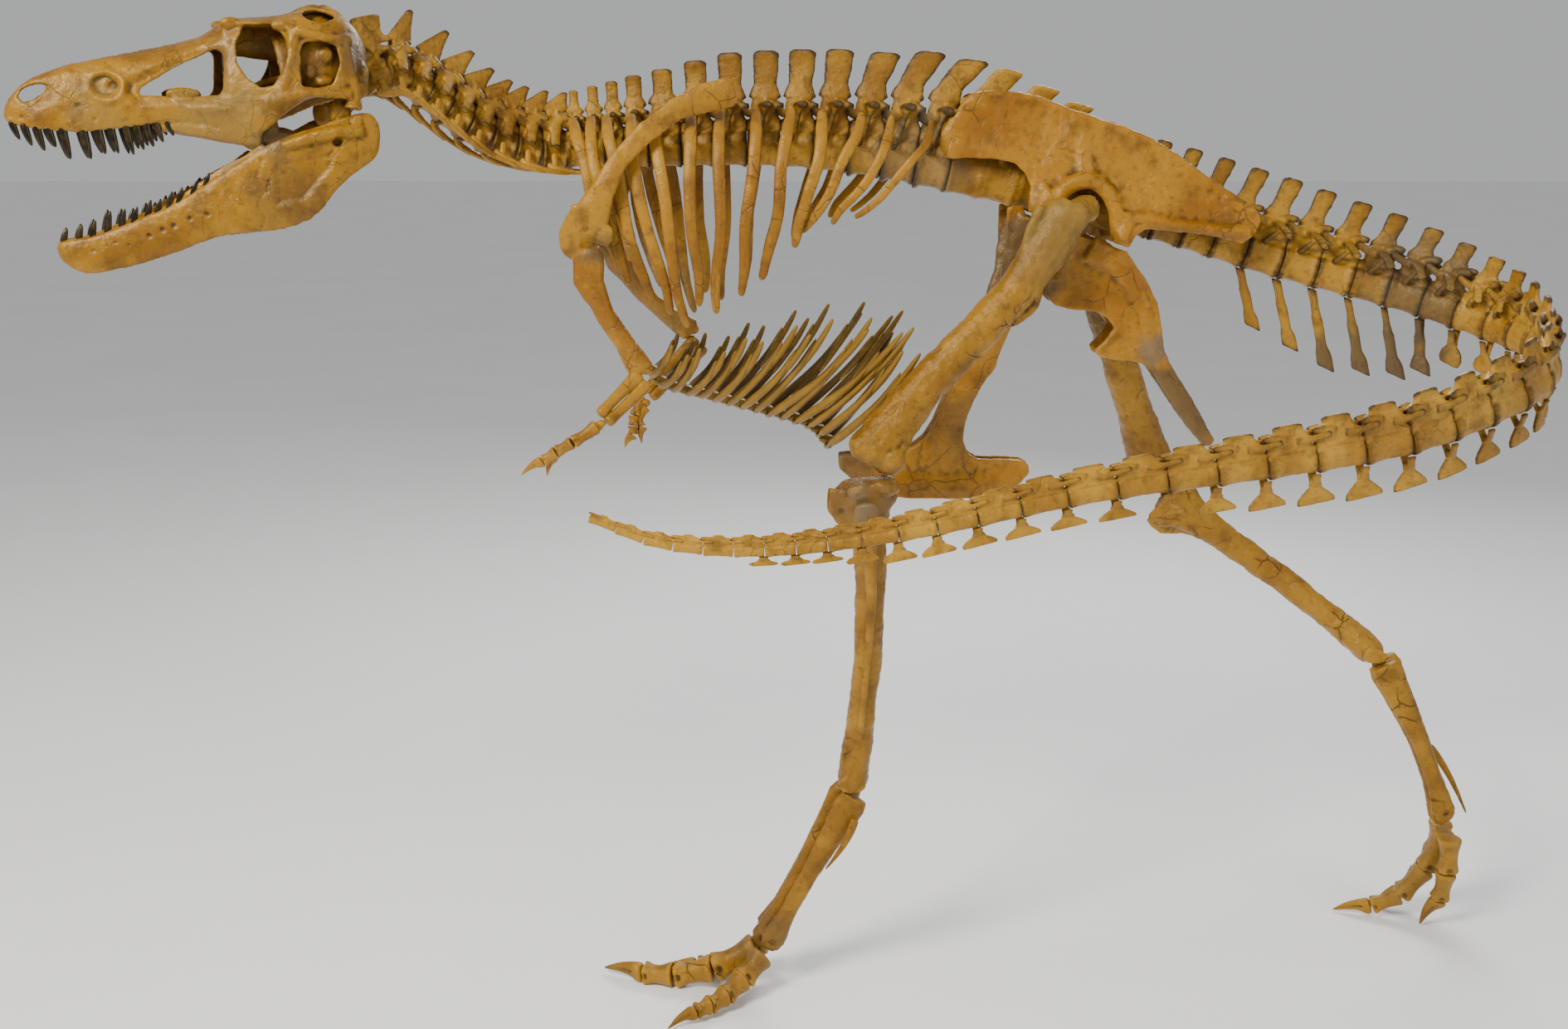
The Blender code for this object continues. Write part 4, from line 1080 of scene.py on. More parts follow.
@dataclass
class Column:
    """Every vertebra from the axis to the tail's tip, with the chevrons under the tail."""

    way: Way = field(default_factory=lambda: Way(SPINE_WAY))
    neck_start: float = -0.016
    neck_end: float = 0.524
    neck_nodes: tuple[int, ...] = (3, 3, 3)
    back_nodes: tuple[int, ...] = (4, 4, 5)
    sacrals: int = 5
    sacral_bone: float = 0.084
    tail_nodes: tuple[int, ...] = (5, 5, 5, 5, 9, 12)
    joint: float = 0.985
    winged: int = 12
    hooked: int = 9

    @property
    def hips_start(self) -> float:
        """Length along the column at which the hip vertebrae begin."""
        return self.neck_end + sum(table(BACK_BONES, k)[0] for k in range(sum(self.back_nodes)))

    def stretch(
            self, pattern: Vertebra, length: float, width: float, height: float, top: float,
            shear: float = 0.0, top_length: float = 1.0) -> Fit:
        """Rule that fits a pattern to one vertebra's sizes.

        Args:
            pattern: The pattern's own sizes.
            length: Length of the vertebra.
            width: Half width of its body.
            height: Half height of body and arch together.
            top: Height of the spine's top over the column.
            shear: How far back the spine's top leans.
            top_length: Stretch of the spine fore and aft.

        Returns:
            A function from the pattern's points to the vertebra's.
        """
        def fit(points: np.ndarray) -> np.ndarray:
            x, y, z = points.T
            above = np.clip(z - pattern.height, 0, None)
            share = above / (pattern.spine_top - pattern.height)
            level = np.minimum(z, pattern.height) * height / pattern.height
            level = level + share * (top - height)
            run = x * self.joint * length / pattern.length
            run = np.where(share > 0, run * (1 + (top_length - 1) * np.clip(share * 2, 0, 1)), run)
            return np.column_stack(
                (run + shear * np.clip(share, 0, 1.1) ** 1.3, y * width / pattern.width, level))
        return fit

    def neck(self) -> None:
        """Nine neck vertebrae with their long thin ribs."""
        kind = Vertebra(
            length=0.056, width=0.044, height=0.062, spine_top=0.118, spine_length=0.0185,
            spine_thick=0.0075, spine_back=0.012, blade=POINTED, reach=0.047, reach_rise=-0.012,
            reach_back=-0.006, yoke=0.75, yoke_rise=0.034, pinch=0.7, voxel=0.003)
        pattern = kind.pattern()
        blade = Vertebra(
            length=0.056, width=0.044, height=0.062, spine_top=0.118, spine_length=0.036,
            spine_thick=0.0095, spine_back=0.006, reach=0.0, yoke=0.75, yoke_rise=0.034, pinch=0.72,
            voxel=0.003)
        axis = blade.pattern()
        count = sum(self.neck_nodes)
        length = (self.neck_end - self.neck_start) / count
        number = 0
        for node, size in enumerate(self.neck_nodes, 1):
            bones = []
            for k in range(number, number + size):
                s = self.neck_start + (k + 0.5) * length
                width, height = mix(0.042, 0.046, k / count), mix(0.058, 0.078, k / count)
                top = table(NECK_SPINES, k)[0]
                own, shape = (blade, axis) if k == 0 else (kind, pattern)
                bones.append(placed(shape, self.way.frame(s), self.stretch(
                    own, length, width, height, top, 0.012 if k else 0.0)))
                bones += self.neck_rib(s, length, height)
            finished(joined(bones), f"neck_bones_{node}", COLUMN, [f"neck_{node}"])
            number += size
        discard([pattern, axis])

    def neck_rib(self, s: float, length: float, height: float) -> list[Item]:
        """Pair of forked, needle-like ribs under one neck vertebra.

        Args:
            s: Length along the column at the vertebra's middle.
            length: Length of the vertebra.
            height: Half height of its body and arch.

        Returns:
            The ribs and their forks.
        """
        low = height * 0.72 + 0.004
        bones = []
        for sign in (-1, 1):
            places = ((-0.34, 0.04, low - 0.006), (-0.12, 0.049, low + 0.006),
                      (0.6, 0.054, low + 0.012), (1.55, 0.06, low + 0.019))
            points = []
            for run, wide, drop in places:
                point, _, side, up = self.way.frame(s + run * length)
                points.append(point + side * wide * sign - up * drop)
            _, _, side, _ = self.way.frame(s)
            bones.append(rounded(bar(points, ((0.006, 0.005), (0.0105, 0.0075),
                                              (0.0068, 0.005), (0.003, 0.0026)), side, 8)))
            point, _, side, up = self.way.frame(s - 0.1 * length)
            bones.append(rounded(bar([point + side * 0.036 * sign - up * low * 0.45,
                                      point + side * 0.05 * sign - up * (low + 0.004)],
                                     ((0.009, 0.006), (0.008, 0.005)), side, 8)))
        return bones

    def back(self) -> None:
        """Thirteen back vertebrae, from the shoulders to the hips."""
        kind = Vertebra(rib_arms=True, spine_length=0.02, arch_reach=1.25)
        pattern = kind.pattern()
        s, number = self.neck_end, 0
        for node, size in enumerate(self.back_nodes, 1):
            bones = []
            for k in range(number, number + size):
                length = table(BACK_BONES, k)[0]
                top, wide, slope = table(BACK_SPINES, k)
                bones.append(placed(pattern, self.way.frame(s + 0.5 * length), self.stretch(
                    kind, length, 0.043, table(((0, 0.07), (5, 0.084), (8, 0.09),
                                                (12, 0.112)), k)[0], top, slope,
                    wide / kind.spine_length * kind.length / length)))
                s += length
            nodes = [f"rib_cage_{side.label}_{node}" for side in Side]
            finished(joined(bones), f"back_bones_{node}", COLUMN, nodes)
            number += size
        discard([pattern])

    def hips(self) -> None:
        """Five hip vertebrae grown together, with broad blades."""
        kind = Vertebra(
            length=0.084, width=0.042, height=0.08, spine_top=0.17, spine_length=0.034, reach=0.05,
            reach_rise=0.01, arch_reach=1.2, reach_back=0.0, pinch=0.86, voxel=0.0038)
        pattern = kind.pattern()
        bones = []
        for k in range(self.sacrals):
            share = k / (self.sacrals - 1)
            bones.append(placed(
                pattern, self.way.frame(self.hips_start + (k + 0.5) * self.sacral_bone),
                self.stretch(kind, self.sacral_bone * 1.02, 0.042, mix(0.11, 0.092, share),
                             mix(0.2, 0.144, share), 0.046)))
        finished(fused(bones, 0.0042, 1), "hip_vertebrae", COLUMN, ["sacrum"])
        discard([pattern])

    def tail(self) -> None:
        """Forty-one tail vertebrae and their chevrons."""
        kind = Vertebra(
            length=0.085, width=0.044, height=0.08, spine_top=0.15, spine_length=0.0175,
            spine_back=0.004, reach=0.105, reach_rise=0.03, reach_back=0.024, yoke=0.85,
            yoke_rise=0.06, arch_reach=1.2, pinch=0.78)
        slim = Vertebra(
            length=0.1, width=0.04, height=0.06, spine_top=0.076, spine_length=0.032,
            spine_thick=0.008, reach=0.0, yoke=1.25, yoke_rise=0.044, arch_reach=1.42, pinch=0.8,
            voxel=0.004)
        patterns = (kind.pattern(), slim.pattern())
        hook, sled = self.chevron(0.0185, 0.024, 0.02), self.chevron(0.0175, 0.044, 0.036)
        start = self.hips_start + self.sacrals * self.sacral_bone
        count = sum(self.tail_nodes)
        raw = [table(TAIL_BONES, k)[0] for k in range(count)]
        scale = (self.way.length - start) / sum(raw)
        s, number = start, 0
        for node, size in enumerate(self.tail_nodes, 1):
            bones = []
            for k in range(number, number + size):
                length = raw[k] * scale
                height, rise, top_half = table(TAIL_BODIES, k)
                width = max(0.007, 0.045 * (1 - k / count) ** 0.9)
                own, shape = (kind, patterns[0]) if k < self.winged else (slim, patterns[1])
                fit = self.stretch(own, length, width, height * 0.97, height + rise,
                                   rise * 0.08, top_half / own.spine_length)
                reach = self.side_reach(k, width)
                if k < self.winged:
                    fit = self.with_reach(fit, width, own.reach * width / own.width, reach)
                bones.append(placed(shape, self.way.frame(s + 0.5 * length), fit))
                if CHEVRONS[0][0] <= k <= CHEVRONS[-1][0]:
                    bones.append(
                        self.hang(hook if k < self.hooked else sled, k, height, s + 1.04 * length))
                s += length
            finished(
                joined(bones), f"tail_bones_{node}", COLUMN if node < 3 else TAIL, [f"tail_{node}"])
            number += size
        discard([*patterns, hook, sled])

    def side_reach(self, number: int, width: float) -> float:
        """How far the side processes of a tail vertebra stand out."""
        return 0.056 if number < 4 else width + 0.066 * (1 - number / 13)

    def with_reach(self, fit: Fit, width: float, made: float, wanted: float) -> Fit:
        """Rule that also draws the side processes in or out.

        Args:
            fit: Rule for the rest of the vertebra.
            width: Half width of its body.
            made: Half span of the processes as the rule leaves them.
            wanted: Half span that they should have.

        Returns:
            The two rules in one.
        """
        def both_fits(points: np.ndarray) -> np.ndarray:
            out = fit(points)
            beyond = np.clip(np.abs(out[:, 1]) - width, 0, None)
            drawn = beyond * (wanted - width) / (made - width)
            out[:, 1] = np.sign(out[:, 1]) * (np.minimum(np.abs(out[:, 1]), width) + drawn)
            return out
        return both_fits

    def chevron(self, stem: float, foot: float, sole: float) -> Item:
        """Pattern of a chevron, with its forked top at Z 0 and its foot at Z -0.1.

        Args:
            stem: Half length of its stem, fore and aft.
            foot: Half length of its foot.
            sole: Thickness of the foot.

        Returns:
            The closed pattern.
        """
        parts = []
        for sign in (-1, 1):
            parts.append(
                bar(
                    [(0, sign * 0.014, -0.002), (0, sign * 0.01, -0.02), (0, 0.0, -0.045)],
                    ((0.009, 0.007), (0.009, 0.0055), (stem * 0.8, 0.006)), ACROSS, 8))
        parts.append(
            bar(
                [
                    (0, 0, -0.036), (0, 0, 1.5 * sole - 0.0985), (0.001, 0, sole - 0.0985),
                    (0.001, 0, 0.45 * sole - 0.0985), (0, 0, -0.0985)],
                (
                    (stem * 0.8, 0.0065), (stem * 0.75, 0.0055), (mix(stem, foot, 0.35), 0.006),
                    (foot * 0.88, 0.0065), (foot * 0.92, 0.0065)), ACROSS, 10, 0.8))
        return lumpy(fused(parts, 0.0026, 2), 0.012, 0.0014)

    def hang(self, pattern: Item, number: int, height: float, s: float) -> Item:
        """Chevron hung behind its vertebra.

        Args:
            pattern: Chevron pattern.
            number: Number of the vertebra.
            height: Half height of its body.
            s: Length along the column at which it hangs.

        Returns:
            The placed chevron.
        """
        depth, slope, foot = table(CHEVRONS, number)
        root = height * 0.88
        foot /= 0.016 if number < self.hooked else 0.038

        def fit(points: np.ndarray) -> np.ndarray:
            x, y, z = points.T
            share = np.clip(-z / 0.1, 0, None)
            swell = 1 + (foot - 1) * np.clip((share - 0.6) / 0.4, 0, 1)
            slim = min(1.0, height / 0.06)
            return np.column_stack(
                (x * swell + slope * depth * share, y * slim, -root - share * (depth - root)))
        return placed(pattern, self.way.frame(s), fit)


# ---- ribs and belly ribs ----
RIB_REACH = (
    (0, 0.29, 0.1), (1, 0.325, 0.09), (3, 0.395, 0.1), (4, 0.43, 0.068), (5, 0.385, 0.025),
    (6, 0.405, -0.014), (8, 0.33, -0.06), (9, 0.255, -0.073), (10, 0.215, -0.125),
    (12, 0.165, -0.165))


@dataclass
class Ribs:
    """Thirteen pairs of ribs under the back."""

    column: Column
    chest_half_width: float = 0.2
    thick: tuple[float, float] = (0.015, 0.0075)

    def one(self, number: int, s: float, length: float) -> Item:
        """Rib of the animal's left side.

        Args:
            number: Number of its vertebra.
            s: Where the vertebra starts along the column.
            length: Length of the vertebra.

        Returns:
            The rib, with its head and its knuckle.
        """
        last = sum(self.column.back_nodes) - 1
        head, _, side, _ = self.column.way.frame(s + mix(0.4, 0.2, number / last) * length)
        share = number / last
        breadth = self.chest_half_width * (0.66 + 0.34 * math.sin(math.pi * min(0.8, 0.14 + share)))
        drop, swing = table(RIB_REACH, number)
        places = ((0.072, 0.052, -0.02), (0.8 * breadth, 0.004, 0.06),
                  (0.97 * breadth, -0.24 * drop, 0.26), (breadth, -0.55 * drop, 0.5),
                  (0.95 * breadth, -0.8 * drop, 0.78), (0.84 * breadth, -drop, 1.0))
        points = [head + side * wide + UP * rise
                  + AHEAD * (swing * along + 0.006 * math.sin(2.7 * number + 9 * along))
                  for wide, rise, along in places]
        fore, through = (mix(size, 0.7 * size, max(0.0, number - 9) / 3) for size in self.thick)
        shaft = bar(
            points,
            (
                (fore * 0.75, through), (fore * 1.0, through * 1.05), (fore * 1.0, through),
                (fore * 0.92, through * 0.9), (fore * 0.86, through * 0.85),
                (fore * 0.6, through * 0.8)), side, 10, 0.85)
        low = head + side * 0.044 - UP * 0.012
        neck = bar([low, low.lerp(points[1], 0.5) + UP * 0.004, points[1]],
                   ((0.008, 0.007), (0.0055, 0.006), (0.004, 0.004)), side, 8)
        return lumpy(joined([rounded(shaft, 2), rounded(neck, 2)]), 0.03, 0.003)

    def build(self) -> None:
        """All the ribs, each side in three lengths of the back."""
        s, number = self.column.neck_end, 0
        for node, size in enumerate(self.column.back_nodes, 1):
            left = []
            for k in range(number, number + size):
                length = table(BACK_BONES, k)[0]
                left.append(self.one(k, s, length))
                s += length
            right = [mirrored(bone) for bone in left]
            finished(joined(left), f"ribs_left_{node}", BONE)
            finished(joined(right), f"ribs_right_{node}", BONE)
            number += size

BELLY_SEAM = (
    (-0.324, 0, 1.52), (-0.285, 0, 1.478), (-0.168, 0, 1.446), (0.016, 0, 1.398), (0.062, 0, 1.381),
    (0.092, 0, 1.356), (0.112, 0, 1.326))
# by row: how far back and how high the rods reach
BELLY_RODS = (
    (0, 0.06, 0.07), (3, 0.095, 0.12), (6, 0.155, 0.185), (9, 0.215, 0.23), (11, 0.245, 0.24),
    (14, 0.195, 0.22))


@dataclass
class BellyRibs:
    """Rows of thin dark rods that rise from a seam under the belly."""

    rows: int = 15
    thick: float = 0.0106

    def build(self) -> None:
        """Both sides; each row is a long inner rod and a short outer one beside it."""
        seam = Way(BELLY_SEAM)
        pitch = seam.length / self.rows
        left = []
        for k in range(self.rows):
            centre, tangent, lateral, up = seam.frame((k + 0.4) * pitch)
            share = math.sqrt(k / (self.rows - 1))
            swing, rise = table(BELLY_RODS, k)
            swing *= 1 + 0.1 * math.sin(2.3 * k)
            rise *= 1 + 0.07 * math.cos(3.1 * k)
            tip = centre + lateral * mix(0.13, 0.2, share) + Vector((swing, 0, rise))
            start = centre - lateral * 0.022 + tangent * 0.014 - up * 0.002 * (k % 2)
            knee = centre + lateral * 0.05 - UP * 0.006 + tangent * 0.004
            middle = centre.lerp(tip, 0.52) + lateral * 0.034 - UP * 0.026
            size = self.thick * mix(0.9, 1.1, share)
            inner = bar([start, knee, middle, centre.lerp(tip, 0.8) + lateral * 0.014],
                        ((size * 1.1, size), (size * 1.15, size), (size * 0.85, size * 0.8),
                         (0.0036, 0.0036)), lateral, 8)
            beside = tangent * 0.0085
            outer = bar(
                [
                    centre.lerp(tip, 0.4) + lateral * 0.03 - UP * 0.022 + beside,
                    centre.lerp(tip, 0.75) + lateral * 0.022 - UP * 0.012 + beside * 0.8, tip],
                ((0.0034, 0.0034), (size * 0.85, size * 0.78), (0.0052, 0.0048)), lateral, 8)
            left += [rounded(inner), rounded(outer),
                     rounded(knob(centre + lateral * 0.006, (0.02, 0.014, 0.012)))]
        whole = joined(left)
        other = mirrored(whole)
        finished(whole, "belly_rods_left", UMBER, ["belly_ribs_left"])
        finished(other, "belly_rods_right", UMBER, ["belly_ribs_right"])


# ---- skull, jaws and teeth, set out in the head's own frame ----
# In that frame X is the distance forward from the back of the head, Y the distance to its
# left, Z the height over the floor.
HEAD_YAW = math.radians(23)
HEAD_BACK = Vector((-0.9, -0.27, 0.0))
HEAD_TURN = np.array(
    [
        [-math.cos(HEAD_YAW), -math.sin(HEAD_YAW), 0.0],
        [math.sin(HEAD_YAW), -math.cos(HEAD_YAW), 0.0], [0.0, 0.0, 1.0]])
# distance forward, roof and underside heights, half widths of roof and cheeks
SKULL_STATIONS = (
    (0.004, 2.222, 2.152, 0.05, 0.072), (0.02, 2.262, 2.128, 0.085, 0.108),
    (0.045, 2.296, 2.122, 0.1, 0.136), (0.075, 2.314, 2.128, 0.098, 0.149),
    (0.107, 2.324, 2.131, 0.092, 0.154), (0.143, 2.312, 2.13, 0.098, 0.154),
    (0.175, 2.304, 2.112, 0.104, 0.149), (0.205, 2.3, 2.085, 0.104, 0.143),
    (0.235, 2.296, 2.058, 0.098, 0.136), (0.265, 2.296, 2.046, 0.084, 0.126),
    (0.29, 2.293, 2.05, 0.068, 0.118), (0.317, 2.272, 2.058, 0.055, 0.108),
    (0.35, 2.253, 2.07, 0.046, 0.1), (0.385, 2.243, 2.085, 0.041, 0.092),
    (0.42, 2.236, 2.081, 0.038, 0.086), (0.46, 2.227, 2.075, 0.037, 0.079),
    (0.5, 2.219, 2.07, 0.036, 0.073), (0.54, 2.211, 2.064, 0.035, 0.066),
    (0.575, 2.204, 2.06, 0.034, 0.06), (0.61, 2.195, 2.061, 0.032, 0.055),
    (0.645, 2.184, 2.063, 0.029, 0.049), (0.675, 2.172, 2.067, 0.026, 0.041),
    (0.7, 2.152, 2.072, 0.02, 0.031), (0.718, 2.132, 2.077, 0.012, 0.02),
    (0.731, 2.104, 2.084, 0.005, 0.008))
SKULL_TOP = 2.3275
NOSTRIL = (
    (0.702, 2.134), (0.692, 2.15), (0.668, 2.158), (0.642, 2.16), (0.65, 2.144), (0.672, 2.129),
    (0.692, 2.123))
CHEEK_WINDOW = (
    (0.473, 2.137), (0.471, 2.15), (0.425, 2.179), (0.37, 2.207), (0.318, 2.23), (0.307, 2.224),
    (0.306, 2.19), (0.31, 2.15), (0.318, 2.138), (0.4, 2.135))
WINDOW_RECESS = (
    (0.482, 2.11), (0.512, 2.14), (0.5, 2.172), (0.43, 2.204), (0.345, 2.241), (0.297, 2.24),
    (0.296, 2.132), (0.35, 2.118), (0.45, 2.114))
EYE_SOCKET = (
    (0.232, 2.288), (0.262, 2.274), (0.28, 2.242), (0.281, 2.205), (0.264, 2.172), (0.238, 2.153),
    (0.216, 2.158), (0.197, 2.185), (0.183, 2.218), (0.184, 2.25), (0.203, 2.279))
TEMPLE = (
    (0.15, 2.243), (0.11, 2.248), (0.083, 2.235), (0.08, 2.2), (0.096, 2.16), (0.13, 2.152),
    (0.16, 2.157), (0.16, 2.195), (0.158, 2.225))
JAW_STATIONS = (
    (0.0, 2.08, 2.036, 0.126), (0.012, 2.1, 2.014, 0.13), (0.03, 2.106, 2.0, 0.131),
    (0.06, 2.1, 1.984, 0.132), (0.105, 2.086, 1.946, 0.132), (0.13, 2.076, 1.908, 0.13),
    (0.16, 2.068, 1.888, 0.127), (0.21, 2.052, 1.872, 0.121), (0.25, 2.03, 1.868, 0.113),
    (0.294, 1.999, 1.866, 0.103), (0.34, 1.972, 1.857, 0.092), (0.391, 1.936, 1.836, 0.08),
    (0.443, 1.908, 1.816, 0.067), (0.484, 1.893, 1.803, 0.056), (0.525, 1.876, 1.792, 0.046),
    (0.565, 1.86, 1.783, 0.036), (0.6, 1.851, 1.78, 0.028), (0.628, 1.848, 1.792, 0.021),
    (0.65, 1.843, 1.815, 0.015))
# bones inside the left half of the skull: middles and half sizes of the rounded ones
INNER_KNOBS = (
    ((0.286, 0.072, 2.284), (0.024, 0.013, 0.012)), ((0.186, 0.112, 2.278), (0.027, 0.016, 0.014)),
    ((0.235, 0.072, 2.282), (0.046, 0.036, 0.008)), ((0.097, 0.054, 2.272), (0.015, 0.016, 0.017)),
    ((0.127, 0.052, 2.276), (0.014, 0.015, 0.016)), ((0.118, 0.108, 2.198), (0.05, 0.012, 0.056)),
    ((0.104, 0.118, 2.218), (0.017, 0.011, 0.019)), ((0.138, 0.118, 2.186), (0.014, 0.01, 0.017)),
    ((0.108, 0.12, 2.166), (0.02, 0.011, 0.012)), ((0.208, 0.086, 2.046), (0.054, 0.02, 0.03)),
    ((0.23, 0.096, 2.08), (0.028, 0.012, 0.026)), ((0.078, 0.112, 2.104), (0.024, 0.014, 0.032)),
    ((0.385, 0.062, 2.14), (0.038, 0.01, 0.015)))
# waypoints, half breadths with half depths, and direction of the depth of the long ones
INNER_BARS = (
    (((0.44, 0.058, 2.08), (0.35, 0.084, 2.07), (0.24, 0.104, 2.056)),
     ((0.012, 0.012), (0.02, 0.014), (0.027, 0.014)), ACROSS),
    (((0.18, 0.05, 2.262), (0.176, 0.07, 2.215), (0.172, 0.08, 2.16)),
     ((0.026, 0.008), (0.022, 0.007), (0.018, 0.007)), ACROSS),
    (((0.168, 0.128, 2.272), (0.176, 0.14, 2.215), (0.196, 0.14, 2.15), (0.215, 0.134, 2.1)),
     ((0.014, 0.008), (0.01, 0.007), (0.011, 0.007), (0.014, 0.007)), ACROSS),
    (((0.05, 0.126, 2.25), (0.11, 0.142, 2.254), (0.165, 0.134, 2.268)),
     ((0.011, 0.008), (0.009, 0.007), (0.01, 0.008)), ACROSS),
    (((0.235, 0.133, 2.118), (0.15, 0.15, 2.143), (0.06, 0.141, 2.14)),
     ((0.015, 0.007), (0.009, 0.007), (0.013, 0.008)), ACROSS),
    (((0.066, 0.126, 2.238), (0.056, 0.134, 2.18), (0.052, 0.128, 2.134), (0.056, 0.13, 2.11)),
     ((0.014, 0.01), (0.012, 0.01), (0.016, 0.015), (0.02, 0.023)), ACROSS),
    (((0.04, 0.03, 2.222), (0.026, 0.078, 2.206), (0.022, 0.122, 2.176)),
     ((0.016, 0.01), (0.014, 0.008), (0.016, 0.006)), AHEAD),
    (((0.07, 0.112, 2.15), (0.14, 0.06, 2.13), (0.25, 0.042, 2.088), (0.4, 0.02, 2.105)),
     ((0.016, 0.006), (0.02, 0.006), (0.015, 0.009), (0.007, 0.007)), ACROSS),
    (((0.245, 0.045, 2.086), (0.262, 0.085, 2.068), (0.262, 0.118, 2.078)),
     ((0.014, 0.007), (0.012, 0.006), (0.012, 0.006)), AHEAD),
    (((0.3, 0.105, 2.135), (0.296, 0.094, 2.19), (0.296, 0.074, 2.25), (0.292, 0.064, 2.28)),
     ((0.012, 0.007), (0.0095, 0.007), (0.0095, 0.008), (0.014, 0.009)), ACROSS),
    (((0.105, 0.04, 2.262), (0.12, 0.06, 2.236), (0.13, 0.078, 2.19)),
     ((0.012, 0.01), (0.012, 0.01), (0.008, 0.008)), ACROSS),
)
# tips of the teeth by distance forward and height
UPPER_TIPS = (
    (0.704, 2.049), (0.682, 2.037), (0.659, 2.027), (0.638, 2.034), (0.612, 2.01), (0.573, 2.01),
    (0.545, 2.02), (0.52, 2.021), (0.491, 2.018), (0.471, 2.028), (0.452, 2.034), (0.433, 2.043),
    (0.412, 2.056))
LOWER_TIPS = (
    (0.628, 1.871), (0.599, 1.878), (0.573, 1.887), (0.543, 1.906), (0.515, 1.91), (0.491, 1.914),
    (0.464, 1.928), (0.445, 1.93), (0.422, 1.945), (0.402, 1.953), (0.374, 1.965), (0.348, 1.982))


def sunk(item: Item, outline: Points, depth: float, soft: float, least: float = 0.0) -> Item:
    """Press a patch of both cheeks inwards, or outwards by a negative depth.

    Args:
        item: Piece in the head's frame.
        outline: Outline of the patch seen from the side.
        depth: How deep it is pressed.
        soft: Width of its sloping rim.
        least: Points nearer than this to the middle plane stay.

    Returns:
        The same piece.
    """
    points = points_of(item)
    rim = np.clip(edge_distance(points[:, (0, 2)], outline) / soft, 0, 1)
    share = rim * rim * (3 - 2 * rim) * (np.abs(points[:, 1]) > least)
    points[:, 1] -= np.sign(points[:, 1]) * share * depth
    return put_points(item, points)


def pitted(item: Item, spots: Sequence[tuple[float, float]], radius: float,
           depth: float, least: float = 0.0) -> Item:
    """Press small round pits into both cheeks.

    Args:
        item: Piece in the head's frame.
        spots: Middles of the pits as (distance forward, height).
        radius: Radius of a pit.
        depth: Depth of a pit.
        least: Points nearer than this to the middle plane stay.

    Returns:
        The same piece.
    """
    points = points_of(item)
    for s, z in spots:
        apart = np.hypot(points[:, 0] - s, points[:, 2] - z)
        share = bell(apart, radius) * (np.abs(points[:, 1]) > least)
        points[:, 1] -= np.sign(points[:, 1]) * share * depth
    return put_points(item, points)


def round_patch(s: float, z: float, half_s: float, half_z: float) -> list[tuple[float, float]]:
    """Oval outline seen from the side."""
    return [(s + half_s * math.cos(a), z + half_z * math.sin(a))
            for a in np.linspace(0, 2 * math.pi, 16, endpoint=False)]


def on_head(item: Item) -> Item:
    """Move a piece from the head's frame to its place on the neck."""
    return put_points(item, points_of(item) @ HEAD_TURN + np.array(HEAD_BACK))


